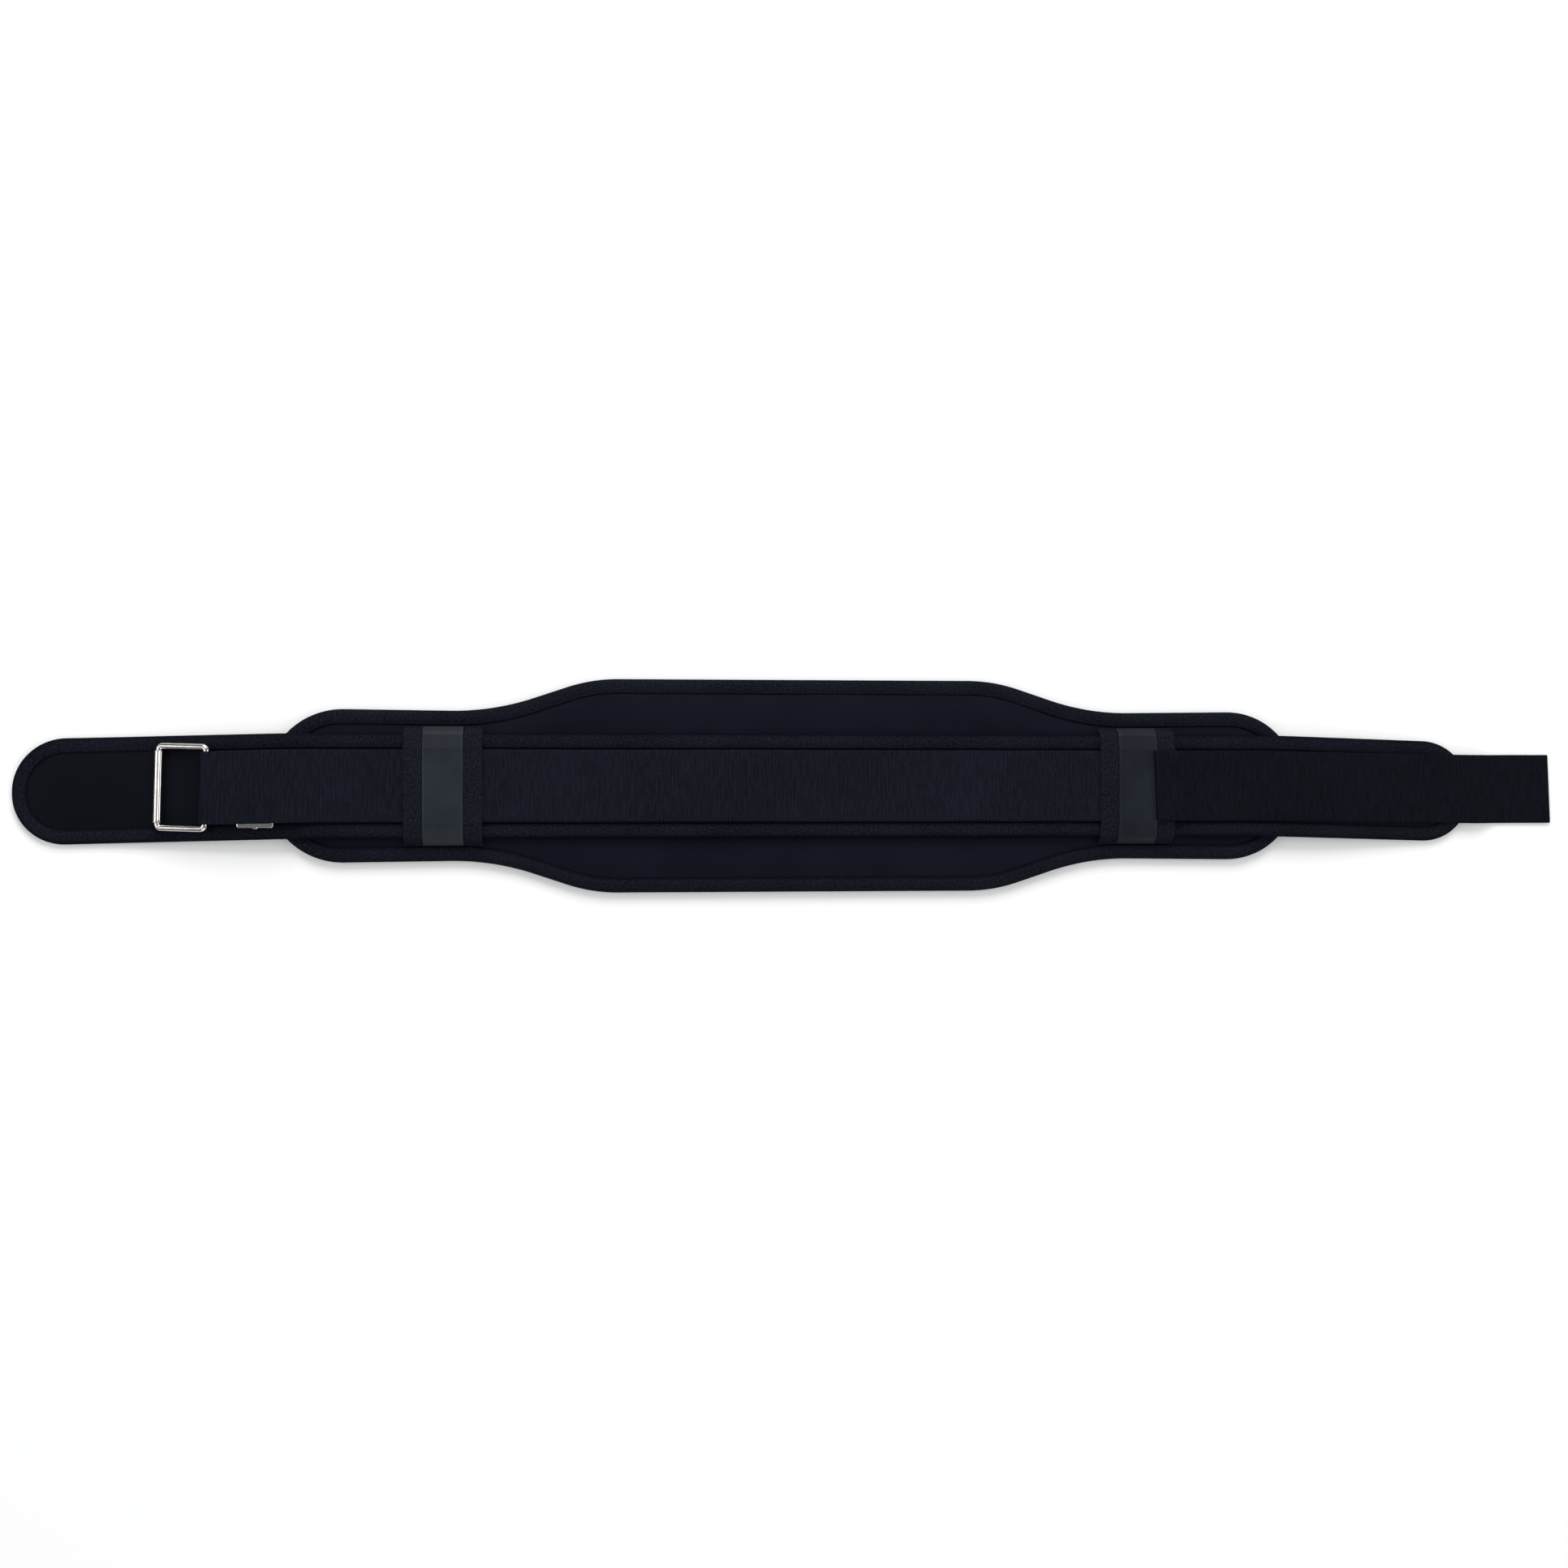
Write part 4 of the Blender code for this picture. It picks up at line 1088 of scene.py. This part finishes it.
def roller_shell():
    """The roller: a tube rolled from sheet, with its butt seam and softly turned-in ends."""
    length = WEBBING_WIDTH / 2 + RING_SIDE_GAP + RING_WIRE / 2 - RING_CORNER_RADIUS - GAP
    bore = RING_WIRE / 2 + GAP
    outer = bore + ROLLER_WALL
    wall = [(bore, -length), (bore + ROLLER_WALL * 0.5, -length), (outer - 0.0001, -length + 0.0001)]
    wall += [(outer, y) for y in spread(-length + 0.0004, length - 0.0004, 12)]
    wall += [(outer - 0.0001, length - 0.0001), (bore + ROLLER_WALL * 0.5, length), (bore, length)]
    wall += [(bore, y) for y in spread(length, -length, 4)[1:-1]]
    rows = []
    for angle in spread(0.0, math.tau, ROLLER_SIDES)[:-1]:
        away = math.remainder(angle - ROLLER_SEAM_ANGLE, math.tau) * outer / ROLLER_SEAM_WIDTH
        dip = ROLLER_WALL * 0.6 * math.exp(-away * away)
        row = []
        for radius, y in wall:
            reach = radius - dip if radius > bore + ROLLER_WALL * 0.4 else radius
            spot = (-RING_SPACING + reach * math.cos(angle), y, reach * math.sin(angle))
            row.append(in_ring(*spot))
        rows.append(row)
    return tidy(skin("roller_tube", rows, close_rows=True, close_ends=True), merge=0.000001, angle=40)


STEEL = steel("nickel_steel")
ring = wear(ring_shell(), STEEL)
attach(ring, "ring")
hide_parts("ring_frame")
tube = wear(roller_shell(), STEEL)
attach(tube, "roller")
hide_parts("roller")

# Slide: a flat frame stamped from steel sheet and tumbled, so its edges are soft. It lies under the
# strap and fixes the strap's end. Only its lower side bar shows, with the small bump in its middle.
SLIDE_EDGE = 0.00035


def soft_edged(name, solid, radius, slot_end):
    """The solid's own shape with its sharp edges rounded, and its slots a little shorter at this end."""
    shape = bmesh.new()
    shape.from_mesh(solid.data)
    bmesh.ops.remove_doubles(shape, verts=shape.verts, dist=0.00001)
    bmesh.ops.dissolve_limit(shape, angle_limit=math.radians(2), verts=shape.verts, edges=shape.edges)
    for vert in shape.verts:
        if slot_end - 0.0006 < vert.co.y < slot_end + 0.0006:
            vert.co.y += SLIDE_BAR_ROOM
    sharp = [edge for edge in shape.edges if edge.calc_face_angle(0.0) > math.radians(28)]
    bmesh.ops.bevel(shape, geom=sharp, offset=radius, segments=3, profile=0.5, affect="EDGES")
    bmesh.ops.recalc_face_normals(shape, faces=shape.faces)
    mesh = bpy.data.meshes.new(name)
    shape.to_mesh(mesh)
    shape.free()
    mesh.shade_smooth()
    mesh.set_sharp_from_angle(angle=math.radians(40))
    piece = bpy.data.objects.new(name, mesh)
    bpy.context.scene.collection.objects.link(piece)
    return piece


slide_low = band_bend(SLIDE_X) - SLIDE_SHIFT - (WEBBING_WIDTH + SLIDE_OVERHANG) / 2
slide_mesh = soft_edged("slide_frame", frame["nodes"]["slide"], SLIDE_EDGE, slide_low + SLIDE_BAR)
slide = wear(slide_mesh, STEEL)
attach(slide, "belt")
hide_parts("slide")

# Stage: a plain white floor, a broad soft light from the photo's upper side, a weaker one from its
# lower side, a softbox past each end of the belt, and the camera, which looks almost straight down
# and leans a little to the belt's left.
FLOOR_SIZE = 8.0
CAMERA_AIM = Vector((-0.01908, 0.00131, 0.0))
CAMERA_DISTANCE = 1.3052
CAMERA_LEAN = math.radians(5.169)
CAMERA_FOCAL_PX = 2228.8
PHOTO_PX = 1932
SENSOR_MM = 36.0
PAPER_COLOUR = (0.94, 0.94, 0.94, 1.0)
SKY_COLOUR = (0.95, 0.97, 1.0, 1.0)
SKY_STRENGTH = 0.22
LIGHTS = [
    # the name, where it stands, its size and its power in watts
    {"name": "window", "place": (-0.05, 1.55, 1.10), "size": 1.3, "power": 37.0},
    {"name": "reflector", "place": (0.10, -1.65, 1.10), "size": 1.3, "power": 13.0},
    {"name": "left softbox", "place": (-2.00, 0.10, 1.45), "size": 1.6, "power": 19.0},
    {"name": "right softbox", "place": (2.00, 0.10, 1.45), "size": 1.6, "power": 20.0},
]


def floor():
    mesh = bpy.data.meshes.new("floor")
    half = FLOOR_SIZE / 2
    corners = [(x * half, y * half, -GAP / 2) for x, y in ((-1, -1), (1, -1), (1, 1), (-1, 1))]
    mesh.from_pydata(corners, [], [(0, 1, 2, 3)])
    piece = bpy.data.objects.new("floor", mesh)
    bpy.context.scene.collection.objects.link(piece)
    paper = bpy.data.materials.new("white_paper")
    paper.use_nodes = True
    shader = paper.node_tree.nodes["Principled BSDF"]
    shader.inputs["Base Color"].default_value = PAPER_COLOUR
    shader.inputs["Roughness"].default_value = 0.9
    shader.inputs["Specular IOR Level"].default_value = 0.1
    wear(piece, paper)


def lights():
    for row in LIGHTS:
        lamp = bpy.data.lights.new(row["name"], "AREA")
        lamp.size = row["size"]
        lamp.energy = row["power"]
        holder = bpy.data.objects.new(row["name"], lamp)
        holder.location = row["place"]
        holder.rotation_euler = (-Vector(row["place"])).to_track_quat("-Z", "Y").to_euler()
        bpy.context.scene.collection.objects.link(holder)
    world = bpy.data.worlds.new("studio")
    world.use_nodes = True
    world.node_tree.nodes["Background"].inputs["Color"].default_value = SKY_COLOUR
    world.node_tree.nodes["Background"].inputs["Strength"].default_value = SKY_STRENGTH
    bpy.context.scene.world = world


def camera():
    lean_sin, lean_cos = math.sin(CAMERA_LEAN), math.cos(CAMERA_LEAN)
    right = Vector((lean_cos, 0.0, lean_sin))
    up = Vector((0.0, 1.0, 0.0))
    back = Vector((-lean_sin, 0.0, lean_cos))
    turn = Matrix((right, up, back)).transposed().to_4x4()
    lens = bpy.data.cameras.new("camera")
    lens.sensor_width = SENSOR_MM
    lens.lens = CAMERA_FOCAL_PX / PHOTO_PX * SENSOR_MM
    lens.clip_start = 0.05
    holder = bpy.data.objects.new("camera", lens)
    holder.matrix_world = Matrix.Translation(CAMERA_AIM + back * CAMERA_DISTANCE) @ turn
    bpy.context.scene.collection.objects.link(holder)
    bpy.context.scene.camera = holder


floor()
lights()
camera()
bpy.context.scene.view_settings.view_transform = "Standard"
